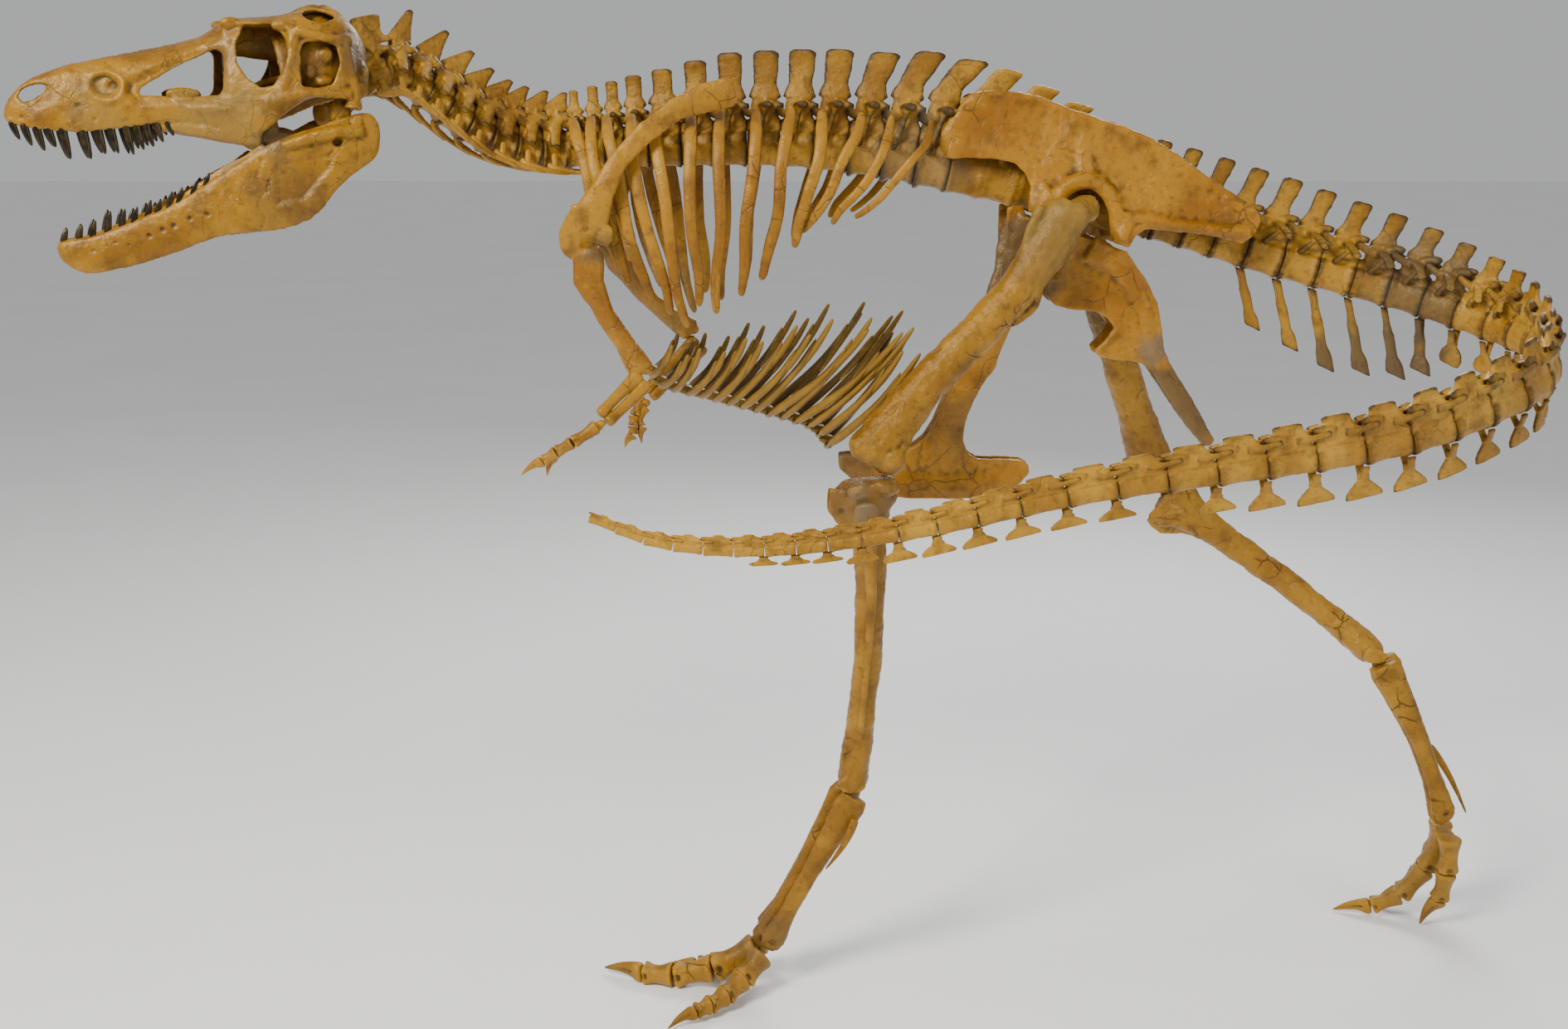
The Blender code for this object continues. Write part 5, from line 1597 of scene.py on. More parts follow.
@dataclass
class Skull:
    """Skull as a hollow wall with its real openings, its inner bones and its upper teeth."""

    wall: float = 0.0095
    voxel: float = 0.0039

    def ring(self, station: Sequence[float]) -> list[Vector]:
        """Cross-section of the outer surface.

        Args:
            station: A row of SKULL_STATIONS.

        Returns:
            Its points, from the roof down the left side and up the right.
        """
        s, top, bottom, roof, cheek = station
        deep = top - bottom
        vault = min(0.03, 0.3 * deep)
        half = [
            (roof * 0.45, top - 0.001), (roof * 0.92, top - 0.03 * deep),
            (mix(roof, cheek, 0.35), top - 0.13 * deep),
            (mix(roof, cheek, 0.72), top - 0.32 * deep), (cheek * 0.985, top - 0.56 * deep),
            (cheek, top - 0.8 * deep), (cheek * 0.97, bottom + 0.05 * deep), (cheek * 0.88, bottom),
            (cheek * 0.62, bottom + vault * 0.55)]
        right = [Vector((s, -o, z)) for o, z in reversed(half)]
        return ([Vector((s, 0, top))] + [Vector((s, o, z)) for o, z in half]
                + [Vector((s, 0, bottom + vault))] + right)

    def shell(self) -> Item:
        """Hollow outer wall with its windows cut through both cheeks."""
        shell = rounded(tube([self.ring(station) for station in SKULL_STATIONS]))
        applied(shell, "SOLIDIFY", thickness=self.wall, offset=-1.0)
        cutters = []
        for outline in (NOSTRIL, CHEEK_WINDOW, EYE_SOCKET, TEMPLE):
            cutters.append(slab(outline, lambda p, depth: Vector((p[0], depth, p[1])), (-0.3, 0.3)))
        for sign in (-1, 1):
            cutters.append(knob((0.11, sign * 0.084, 2.304), (0.036, 0.044, 0.034)))
            cutters.append(knob((0.36, sign * 0.04, 2.085), (0.055, 0.015, 0.03)))
        for cutter in cutters:
            applied(shell, "BOOLEAN", operation="DIFFERENCE", solver="EXACT", object=cutter)
        discard(cutters)
        return shell

    def inner(self, sign: int) -> list[Item]:
        """Bosses, bars, quadrate and palate of one side, which join the wall."""
        parts = [knob(both(place, sign), size) for place, size in INNER_KNOBS]
        return parts + [bar([both(point, sign) for point in points], sizes, lateral)
                        for points, sizes, lateral in INNER_BARS]

    def brain_box(self) -> list[Item]:
        """Middle bones: brain box, ball joint for the neck, crest and nasal ridge."""
        return [
            tube([oval(Vector((s, 0, z)), Vector((0, w, 0)), Vector((0, 0, h)), 12, 0.8)
                  for s, z, w, h in ((0.006, 2.205, 0.03, 0.034), (0.03, 2.212, 0.046, 0.044),
                                     (0.09, 2.238, 0.036, 0.048), (0.16, 2.246, 0.03, 0.044),
                                     (0.22, 2.252, 0.02, 0.04), (0.29, 2.254, 0.014, 0.034),
                                     (0.31, 2.254, 0.006, 0.02))]),
            knob((0.012, 0.0, 2.178), (0.015, 0.018, 0.016)),
            knob((0.108, 0.0, 2.286), (0.062, 0.036, 0.03)),
            bar([(0.045, -0.098, 2.268), (0.066, -0.06, 2.302), (0.086, 0.0, 2.318),
                 (0.066, 0.06, 2.302), (0.045, 0.098, 2.268)],
                ((0.006, 0.006), (0.009, 0.007), (0.011, 0.007), (0.009, 0.007),
                 (0.006, 0.006)), AHEAD),
            bar([(0.06, 0.0, 2.3), (0.105, 0.0, 2.318), (0.15, 0.0, 2.302)],
                ((0.012, 0.01), (0.011, 0.012), (0.01, 0.014)), ACROSS),
            bar([(0.1, 0, 2.185), (0.2, 0, 2.17), (0.3, 0, 2.14)],
                ((0.016, 0.008), (0.008, 0.005), (0.004, 0.004)), ACROSS),
        ]

    def teeth(self) -> None:
        """Upper teeth of both sides, copied from one pattern."""
        pattern = tooth()
        bones = []
        for sign in (-1, 1):
            for k, (s, tip) in enumerate(UPPER_TIPS):
                _, bottom, _, cheek = table(SKULL_STATIONS, s + 0.01)
                root = Vector((s + 0.011, sign * (cheek * 0.9 - 0.003), bottom + 0.003))
                end = Vector((s, sign * (cheek * 0.9 - 0.002), tip))
                half = 0.0106 if 3 <= k <= 6 else 0.009
                bones.append(set_tooth(pattern, root, end, half, sign))
        discard([pattern])
        finished(on_head(joined(bones)), "upper_teeth", ENAMEL)

    def build(self) -> None:
        """The skull and its teeth."""
        parts = [self.shell()] + self.brain_box()
        for sign in (-1, 1):
            parts += self.inner(sign)
        head = fused(parts, self.voxel, 2)
        sunk(head, WINDOW_RECESS, 0.009, 0.02, 0.03)
        sunk(head, round_patch(0.535, 2.156, 0.046, 0.042), -0.003, 0.014, 0.03)
        sunk(head, round_patch(0.535, 2.156, 0.034, 0.03), 0.011, 0.014, 0.03)
        sunk(head, round_patch(0.521, 2.157, 0.014, 0.012), 0.004, 0.008, 0.03)
        sunk(head, round_patch(0.59, 2.118, 0.009, 0.006), 0.005, 0.005, 0.03)
        sunk(head, round_patch(0.664, 2.138, 0.042, 0.03), 0.004, 0.014, 0.012)
        sunk(head, round_patch(0.338, 2.112, 0.05, 0.018), -0.006, 0.016, 0.05)
        sunk(head, round_patch(0.39, 2.132, 0.024, 0.01), -0.006, 0.008, 0.05)
        pitted(head, [(0.598, 2.084), (0.561, 2.091), (0.506, 2.087), (0.47, 2.096),
                      (0.292, 2.246), (0.697, 2.096)], 0.0065, 0.0024, 0.02)
        lumpy(lumpy(head, 0.045, 0.0045), 0.013, 0.0022)
        points = points_of(head)
        rough = bell(np.abs(points[:, 0] - 0.52), 0.17) * bell(np.abs(points[:, 1]), 0.045)
        wave = np.sin(points[:, 0] * 310 + 3 * np.sin(points[:, 1] * 190)) * np.cos(
            points[:, 1] * 260 + 2 * np.sin(points[:, 0] * 140))
        points[:, 2] += rough * wave * 0.0018
        points[:, 2] = np.minimum(points[:, 2], SKULL_TOP)
        finished(on_head(put_points(head, points)), "skull_bones", HEAD, ["skull"])
        self.teeth()


def tooth() -> Item:
    """Pattern of a tooth: root at Z 0.3, gum at 0, tip at -1, curved towards -X."""
    rings = []
    for t in (-0.3, -0.12, 0.05, 0.25, 0.45, 0.63, 0.78, 0.9, 0.97, 1.0):
        swell = math.sqrt(max(0.0004, 1 - max(0.0, t) ** 1.7))
        rings.append(oval(Vector((0.3 * (1 - max(t, 0) ** 1.8) - 0.3, 0, -t)),
                          Vector((1.0 * swell, 0, 0)), Vector((0, 0.62 * swell, 0)), 8, 0.9))
    return rounded(tube(rings))


def set_tooth(pattern: Item, root: Vector, tip: Vector, half: float, sign: int) -> Item:
    """Copy of the tooth pattern between a gum point and a tip.

    Args:
        pattern: The tooth pattern.
        root: Point on the gum line.
        tip: Tip of the tooth.
        half: Half length of its base, fore and aft.
        sign: Side of the head that it stands on.

    Returns:
        The tooth in the head's frame.
    """
    points = points_of(pattern)
    reach = abs(tip.z - root.z)
    way = math.copysign(1, root.z - tip.z)
    size = half * min(1.0, 0.62 + 9 * reach)
    x, y, z = points.T
    depth = np.clip(-z, 0, None)
    run = tip.x - root.x + 0.3 * size
    out = np.column_stack(
        (
            root.x + x * size + run * depth, root.y + y * size + sign * 0.0015 * depth,
            root.z + way * z * reach))
    twin = copied(pattern, out)
    return outward(twin)


@dataclass
class Jaws:
    """Both halves of the lower jaw and the lower teeth."""

    thick: float = 0.013
    voxel: float = 0.0032

    def half(self) -> Item:
        """Left half of the lower jaw, in the head's frame."""
        rings = []
        for s, top, bottom, offset in JAW_STATIONS:
            t = min(self.thick, offset * 0.95) * (0.8 if s < 0.2 else 1.0)
            deep, middle = top - bottom, (top + bottom) / 2
            section = (
                (0.55, top), (0.9, top - 0.14 * deep), (1.05, middle), (0.95, bottom + 0.2 * deep),
                (0.5, bottom - 0.07 * deep), (-0.4, bottom - 0.07 * deep),
                (-0.85, bottom + 0.25 * deep), (-0.7, middle), (-0.95, top - 0.14 * deep),
                (-0.45, top))
            rings.append([Vector((s, offset + o * t, z)) for o, z in section])
        parts = [rounded(tube(rings)),
                 bar([(0.205, 0.13, 2.034), (0.13, 0.142, 2.056), (0.06, 0.143, 2.066),
                      (0.04, 0.136, 2.066)], ((0.011, 0.008), (0.014, 0.012), (0.014, 0.012),
                                              (0.012, 0.013)), ACROSS),
                 bar([(0.052, 0.112, 2.082), (0.05, 0.145, 2.084)],
                     ((0.014, 0.01), (0.014, 0.01)), AHEAD, 8),
                 bar([(0.235, 0.112, 2.032), (0.3, 0.096, 1.975), (0.48, 0.05, 1.862),
                      (0.6, 0.024, 1.826)], ((0.012, 0.006), (0.03, 0.005), (0.026, 0.005),
                                              (0.018, 0.005)), ACROSS)]
        jaw = fused(parts, self.voxel, 2)
        sunk(jaw, ((0.23, 2.01), (0.09, 2.04), (0.1, 1.985), (0.16, 1.92), (0.23, 1.905)),
             0.006, 0.018)
        pitted(jaw, [(0.092, 2.044)], 0.014, 0.009)
        pitted(jaw, [(0.472, 1.856), (0.446, 1.869), (0.424, 1.876), (0.392, 1.891),
                     (0.358, 1.899)], 0.008, 0.0036)
        pitted(jaw, [(0.581, 1.826), (0.538, 1.843), (0.512, 1.838)], 0.006, 0.0018)
        pitted(jaw, [(0.238, 1.945), (0.236, 1.955), (0.233, 1.965)], 0.007, 0.004)
        groove = [(0.252 - 0.006 * math.sin(k * 0.9), 1.872 + 0.0085 * k) for k in range(17)]
        pitted(jaw, groove, 0.0065, 0.0018)
        return lumpy(lumpy(jaw, 0.04, 0.004), 0.012, 0.0018)

    def teeth(self) -> None:
        """Lower teeth of both sides."""
        pattern = tooth()
        bones = []
        for sign in (-1, 1):
            for s, tip in LOWER_TIPS:
                top, _, offset = table(JAW_STATIONS, s + 0.007)
                drop = 0.014 * bell(np.float64(abs(s - 0.35)), 0.2) if sign < 0 else 0.0
                root = Vector((s + 0.008, sign * offset, top - 0.003 - drop))
                end = Vector((s, sign * offset, tip - drop))
                bones.append(set_tooth(pattern, root, end, 0.0082, sign))
        discard([pattern])
        finished(on_head(joined(bones)), "lower_teeth", ENAMEL)

    def build(self) -> None:
        """Both jaws, the right one mirrored, and their teeth."""
        left = self.half()
        right = mirrored(left)
        points = points_of(right)
        points[:, 2] -= bell(np.abs(points[:, 0] - 0.27), 0.17) * 0.016
        put_points(right, points)
        finished(on_head(left), "jaw_bones_left", HEAD, ["jaw_left"])
        finished(on_head(right), "jaw_bones_right", HEAD, ["jaw_right"])
        self.teeth()


# ---- hip blades ----
ILIUM = (
    (0.356, 2.06), (0.372, 2.086), (0.392, 2.108), (0.405, 2.13), (0.424, 2.146), (0.46, 2.153),
    (0.498, 2.154), (0.54, 2.149), (0.58, 2.14), (0.65, 2.116), (0.718, 2.091), (0.78, 2.072),
    (0.841, 2.049), (0.9, 2.008), (0.961, 1.966), (1.02, 1.928), (1.07, 1.893), (1.085, 1.88),
    (1.088, 1.862), (1.076, 1.834), (1.048, 1.81), (1.005, 1.822), (0.962, 1.83), (0.89, 1.838),
    (0.822, 1.845), (0.803, 1.832), (0.79, 1.8), (0.752, 1.812), (0.748, 1.85), (0.752, 1.88),
    (0.738, 1.915), (0.715, 1.932), (0.69, 1.938), (0.662, 1.934), (0.64, 1.918), (0.622, 1.892),
    (0.61, 1.872), (0.58, 1.872), (0.556, 1.882), (0.556, 1.91), (0.56, 1.94), (0.545, 1.972),
    (0.523, 1.99), (0.49, 1.998), (0.448, 2.0), (0.41, 2.002), (0.38, 2.0), (0.364, 2.008),
    (0.356, 2.024))
PUBIS = (
    (0.508, 1.895), (0.546, 1.9), (0.556, 1.862), (0.598, 1.858), (0.583, 1.8), (0.566, 1.74),
    (0.545, 1.67), (0.524, 1.6), (0.494, 1.518), (0.462, 1.47), (0.445, 1.435), (0.43, 1.39),
    (0.424, 1.345), (0.436, 1.312), (0.46, 1.299), (0.51, 1.299), (0.56, 1.297), (0.584, 1.284),
    (0.586, 1.262), (0.554, 1.226), (0.5, 1.209), (0.446, 1.2), (0.37, 1.199), (0.289, 1.2),
    (0.235, 1.212), (0.19, 1.232), (0.155, 1.252), (0.132, 1.274), (0.129, 1.308), (0.165, 1.31),
    (0.21, 1.312), (0.26, 1.314), (0.305, 1.327), (0.332, 1.35), (0.352, 1.382), (0.388, 1.46),
    (0.42, 1.53), (0.45, 1.6), (0.478, 1.67), (0.5, 1.74), (0.508, 1.82))
ISCHIUM = (
    (0.65, 1.836), (0.7, 1.822), (0.745, 1.808), (0.787, 1.792), (0.815, 1.755), (0.844, 1.715),
    (0.868, 1.67), (0.88, 1.615), (0.89, 1.564), (0.905, 1.533), (0.924, 1.504), (0.969, 1.435),
    (1.0, 1.385), (1.026, 1.342), (1.018, 1.327), (0.999, 1.327), (0.968, 1.365), (0.934, 1.407),
    (0.9, 1.458), (0.864, 1.508), (0.845, 1.527), (0.822, 1.534), (0.785, 1.536), (0.748, 1.542),
    (0.732, 1.55), (0.73, 1.562), (0.752, 1.588), (0.77, 1.614), (0.752, 1.638), (0.725, 1.652),
    (0.69, 1.656), (0.658, 1.658), (0.628, 1.668), (0.607, 1.687), (0.606, 1.73), (0.614, 1.788))


@dataclass
class Hips:
    """Ilium, pubis and ischium of both sides."""

    thick: float = 0.0105
    voxel: float = 0.0044

    def plane(self, top: tuple[float, float], bottom: tuple[float, float]) -> Placer:
        """Leaning plane of one bone of the right side.

        Args:
            top: Height and distance from the middle plane at the bone's top.
            bottom: The same at its bottom.

        Returns:
            A function that places a point of an outline at a depth through the bone.
        """
        def place(point: Sequence[float], depth: float) -> Vector:
            share = (point[1] - bottom[0]) / (top[0] - bottom[0])
            return Vector((point[0], mix(bottom[1], top[1], share) + depth, point[1]))
        return place

    def ridge(
            self, place: Placer, points: Sequence[Triple],
            sizes: Sequence[tuple[float, float]]) -> Item:
        """Raised bar on a plate through points of (x, z, depth)."""
        return bar([place((x, z), depth) for x, z, depth in points], sizes, ACROSS, 10)

    def ilium(self) -> Item:
        """Right hip blade with its socket rim, feet, ridge and shelf."""
        place = self.plane((2.154, 0.052), (1.8, 0.098))
        out = self.thick
        parts = [
            slab(ILIUM, place, (-out * 0.8, 0.0, out * 0.8)),
            self.ridge(
                place,
                (
                    (0.765, 1.835, 0.003), (0.755, 1.89, 0.008), (0.73, 1.932, 0.013),
                    (0.69, 1.953, 0.016), (0.642, 1.936, 0.013), (0.605, 1.89, 0.004)),
                (
                    (0.02, 0.013), (0.018, 0.013), (0.02, 0.014), (0.022, 0.015), (0.02, 0.014),
                    (0.024, 0.014))),
            self.ridge(
                place, ((0.61, 1.93, 0.004), (0.582, 1.884, 0.002)),
                ((0.026, 0.018), (0.022, 0.022))),
            self.ridge(
                place, ((0.78, 1.88, 0.004), (0.771, 1.818, 0.002)),
                ((0.028, 0.016), (0.018, 0.022))),
            self.ridge(
                place, ((0.69, 1.96, 0.01), (0.68, 2.01, 0.008), (0.69, 2.075, 0.004)),
                ((0.024, 0.01), (0.018, 0.007), (0.014, 0.005))),
            self.ridge(
                place,
                (
                    (0.8, 1.872, 0.006), (0.9, 1.856, 0.01), (1.0, 1.842, 0.01),
                    (1.062, 1.838, 0.006)),
                ((0.014, 0.01), (0.011, 0.011), (0.012, 0.013), (0.016, 0.016))),
            self.ridge(
                place,
                (
                    (0.375, 2.06, 0.0), (0.424, 2.13, 0.0), (0.5, 2.14, 0.0), (0.6, 2.121, 0.0),
                    (0.84, 2.035, 0.0), (0.96, 1.954, 0.0), (1.066, 1.876, 0.0)),
                (
                    (0.01, 0.012), (0.01, 0.012), (0.009, 0.011), (0.008, 0.01), (0.008, 0.01),
                    (0.01, 0.013), (0.018, 0.016)))]
        blade = fused(parts, self.voxel, 10)
        points = points_of(blade)
        for x, z, radius, sink in (
                (0.57, 2.06, 0.085, 0.006), (0.8, 1.985, 0.12, 0.006), (0.95, 1.915, 0.09, 0.004),
                (0.46, 2.07, 0.05, 0.004)):
            apart = np.hypot(points[:, 0] - x, points[:, 2] - z)
            points[:, 1] -= bell(apart, radius) * sink
        return lumpy(lumpy(put_points(blade, points), 0.07, 0.009), 0.018, 0.0036)

    def pubis(self) -> Item:
        """Right pubis: shaft down to the broad boot."""
        place = self.plane((1.9, 0.085), (1.2, 0.0135))
        parts = [slab(PUBIS, place, (-0.008, 0.0, 0.008)),
                 self.ridge(place, ((0.56, 1.872, 0.0), (0.54, 1.8, 0.0), (0.524, 1.72, 0.0),
                                    (0.487, 1.6, 0.0), (0.44, 1.49, 0.0),
                                    (0.398, 1.4, 0.0), (0.376, 1.33, 0.0)),
                            ((0.034, 0.02), (0.03, 0.016), (0.03, 0.015), (0.03, 0.014),
                             (0.032, 0.013), (0.034, 0.012), (0.044, 0.011))),
                 self.ridge(place, ((0.15, 1.286, 0.0), (0.28, 1.252, 0.0), (0.4, 1.242, 0.0),
                                    (0.5, 1.25, 0.0), (0.562, 1.264, 0.0)),
                            ((0.016, 0.01), (0.034, 0.012), (0.038, 0.013), (0.036, 0.013),
                             (0.026, 0.012)))]
        return lumpy(lumpy(fused(parts, self.voxel, 6), 0.06, 0.006), 0.018, 0.0034)

    def ischium(self) -> Item:
        """Right ischium: plate, flange and the shaft that sweeps back."""
        place = self.plane((1.838, 0.085), (1.33, 0.0135))
        parts = [slab(ISCHIUM, place, (-0.007, 0.0, 0.007)),
                 self.ridge(place, ((0.7, 1.8, 0.0), (0.77, 1.76, 0.0), (0.822, 1.69, 0.0),
                                    (0.85, 1.61, 0.0), (0.868, 1.545, 0.0),
                                    (0.93, 1.45, 0.0), (1.008, 1.342, 0.0)),
                            ((0.034, 0.019), (0.03, 0.015), (0.024, 0.013), (0.02, 0.012),
                             (0.02, 0.012), (0.018, 0.011), (0.012, 0.01))),
                 self.ridge(place, ((0.66, 1.815, 0.0), (0.64, 1.76, 0.0), (0.64, 1.7, 0.0)),
                            ((0.024, 0.016), (0.018, 0.009), (0.012, 0.007)))]
        return lumpy(lumpy(fused(parts, self.voxel, 6), 0.06, 0.006), 0.018, 0.0032)

    def build(self) -> None:
        """All six bones; the left ones are mirrored copies."""
        for name, bone in (
                ("ilium", self.ilium()), ("pubis", self.pubis()), ("ischium", self.ischium())):
            twin = mirrored(bone)
            finished(bone, f"{name}_bone_right", HIP, [f"{name}_right"])
            finished(twin, f"{name}_bone_left", HIP, [f"{name}_left"])


# ---- legs and feet ----
LEGS = {
    Side.LEFT: {
        "thigh": (
            (0.648, -0.165, 1.905), (0.518, -0.18, 1.703), (0.34, -0.21, 1.524),
            (0.184, -0.235, 1.33)),
        "shin": (
            (0.18, -0.233, 1.286), (0.2, -0.208, 1.065), (0.196, -0.185, 0.84),
            (0.163, -0.15, 0.522)),
        "arch": ((0.162, -0.149, 0.513), (0.076, -0.145, 0.356), (-0.052, -0.13, 0.11)),
        "splint": ((0.17, -0.207, 0.462), (0.148, -0.206, 0.4), (0.098, -0.202, 0.33))},
    Side.RIGHT: {
        "thigh": ((0.7, 0.165, 1.88), (0.8, 0.22, 1.6), (0.88, 0.29, 1.395), (0.974, 0.394, 1.16)),
        "shin": (
            (0.999, 0.402, 1.123), (1.17, 0.378, 1.004), (1.341, 0.335, 0.883),
            (1.541, 0.258, 0.728)),
        "arch": ((1.55, 0.253, 0.717), (1.662, 0.23, 0.49), (1.727, 0.212, 0.3)),
        "splint": ((1.706, 0.302, 0.47), (1.768, 0.303, 0.386), (1.8205, 0.304, 0.276))},}
SOCKET = (0.694, 0.086, 1.893)
# waypoints from the foot to the tip, half size of the first joint, bones, share of the claw
TOES = {
    "toe_left_3": (((-0.066, -0.132, 0.096), (-0.165, -0.145, 0.052), (-0.26, -0.142, 0.031),
                    (-0.35, -0.118, 0.024), (-0.45, -0.066, 0.014)), 0.041, 3, 0.28),
    "toe_left_4": (((-0.055, -0.178, 0.096), (-0.112, -0.237, 0.05), (-0.16, -0.29, 0.033),
                    (-0.22, -0.338, 0.026), (-0.273, -0.374, 0.006)), 0.035, 4, 0.26),
    "toe_left_2": (((-0.05, -0.08, 0.088), (-0.13, -0.076, 0.036), (-0.21, -0.072, 0.022),
                    (-0.3, -0.054, 0.005)), 0.031, 2, 0.32),
    "toe_right_2": (((1.728, 0.16, 0.268), (1.728, 0.166, 0.175), (1.722, 0.178, 0.103),
                     (1.706, 0.194, 0.05), (1.682, 0.21, 0.004)), 0.032, 2, 0.34),
    "toe_right_3": (((1.734, 0.216, 0.264), (1.716, 0.23, 0.194), (1.686, 0.243, 0.127),
                     (1.64, 0.257, 0.064), (1.588, 0.27, 0.034), (1.478, 0.304, 0.005)),
                    0.035, 3, 0.25),
    "toe_right_4": (((1.744, 0.272, 0.268), (1.74, 0.29, 0.19), (1.706, 0.306, 0.11),
                     (1.66, 0.322, 0.05), (1.6, 0.34, 0.005)), 0.033, 3, 0.25),
}
JOINT_SPACE = 0.002


def phalanx() -> Item:
    """Pattern of a finger or toe bone: X from -1 to 1, joints of half size 1."""
    rings = []
    for x, high, wide, rise in (
            (-1.0, 0.72, 0.8, 0.04), (-0.95, 0.95, 1.0, 0.04), (-0.8, 0.98, 1.0, 0.03),
            (-0.5, 0.82, 0.82, 0.0), (0.0, 0.7, 0.7, -0.04), (0.42, 0.73, 0.74, -0.04),
            (0.68, 0.87, 0.9, 0.0), (0.86, 0.94, 0.96, 0.0), (0.96, 0.84, 0.92, 0.0),
            (1.0, 0.62, 0.8, 0.0)):
        rings.append(
            oval(Vector((x, 0, rise)), Vector((0, wide, 0)), Vector((0, 0, high)), 16, 0.85))
    bone = rounded(tube(rings), 1)
    points = points_of(bone)
    x, y, z = points.T
    pit = bell(np.hypot((x - 0.8) * 1.5, z + 0.02), 0.46)
    rim = bell(np.abs(np.hypot((x - 0.8) * 1.5, z + 0.02) - 0.5), 0.2)
    side = np.clip(np.abs(y) * 3 - 1, 0, 1)
    y = y - np.sign(y) * side * (0.24 * pit - 0.02 * rim)
    groove = bell(np.abs(y), 0.34) * np.clip((x - 0.55) * 3, 0, 1)
    x = x - 0.055 * groove
    z = z - np.sign(z) * 0.1 * groove
    return put_points(bone, np.column_stack((x, y, z)))


def ungual() -> Item:
    """Pattern of a claw bone: X from the joint at 0 to the tip at 1, curved downwards."""
    rings = []
    for t, high, wide in (
            (0.0, 0.6, 0.72), (0.04, 0.95, 0.95), (0.12, 1.0, 0.92), (0.25, 0.8, 0.72),
            (0.42, 0.64, 0.6), (0.6, 0.48, 0.47), (0.78, 0.31, 0.32), (0.92, 0.15, 0.17),
            (1.0, 0.05, 0.06)):
        rings.append(oval(Vector((t, 0, 0.34 * math.sin(math.pi * min(1.0, t * 1.05)))),
                          Vector((0, wide, 0)), Vector((0, 0, high)), 14, 0.85))
    bone = rounded(tube(rings), 1)
    points = points_of(bone)
    x, y, z = points.T
    middle = 0.34 * np.sin(np.pi * np.clip(x * 1.05, 0, 1))
    flute = bell(
        np.abs(z - middle + 0.08), 0.16) * np.clip(x * 8 - 1, 0, 1) * np.clip((1 - x) * 4, 0, 1)
    y = y * (1 - 0.26 * flute)
    knuckle = bell(np.hypot((x - 0.12) * 4, y), 0.9) * (z < 0)
    z = z - 0.22 * knuckle
    return put_points(bone, np.column_stack((x, y, z)))


def along(pattern: Item, start: Vector, end: Vector, half: float, across: Vector,
          narrow: float = 0.88, claw: bool = False) -> Item:
    """Copy of a toe-bone pattern laid between two points.

    Args:
        pattern: Toe bone or claw.
        start: Its joint nearer the body.
        end: Its far joint or tip.
        half: Half height of the joint.
        across: Rough direction of its width.
        narrow: Width as a share of the height.
        claw: Whether the pattern is the claw's.

    Returns:
        The placed copy.
    """
    run = end - start
    tangent = run.normalized()
    side = (across - tangent * tangent.dot(across)).normalized()
    up = tangent.cross(side)
    if up.z < 0 or (abs(up.z) < 0.2 and up.x < 0):
        up, side = -up, -side
    if tangent.cross(side).dot(up) < 0:
        side = -side
    x, y, z = points_of(pattern).T
    if claw:
        place = x * run.length
    else:
        place = (x + 1) / 2 * (run.length - JOINT_SPACE)
    out = (np.array(start) + np.outer(place, tangent) + np.outer(y * half * narrow, side)
           + np.outer(z * half, up))
    return outward(copied(pattern, out))


@dataclass
class Limb:
    """Arm or leg of one side."""

    side: Side

    @property
    def out(self) -> Vector:
        """Direction away from the middle plane."""
        return Vector((0, self.side.value, 0))


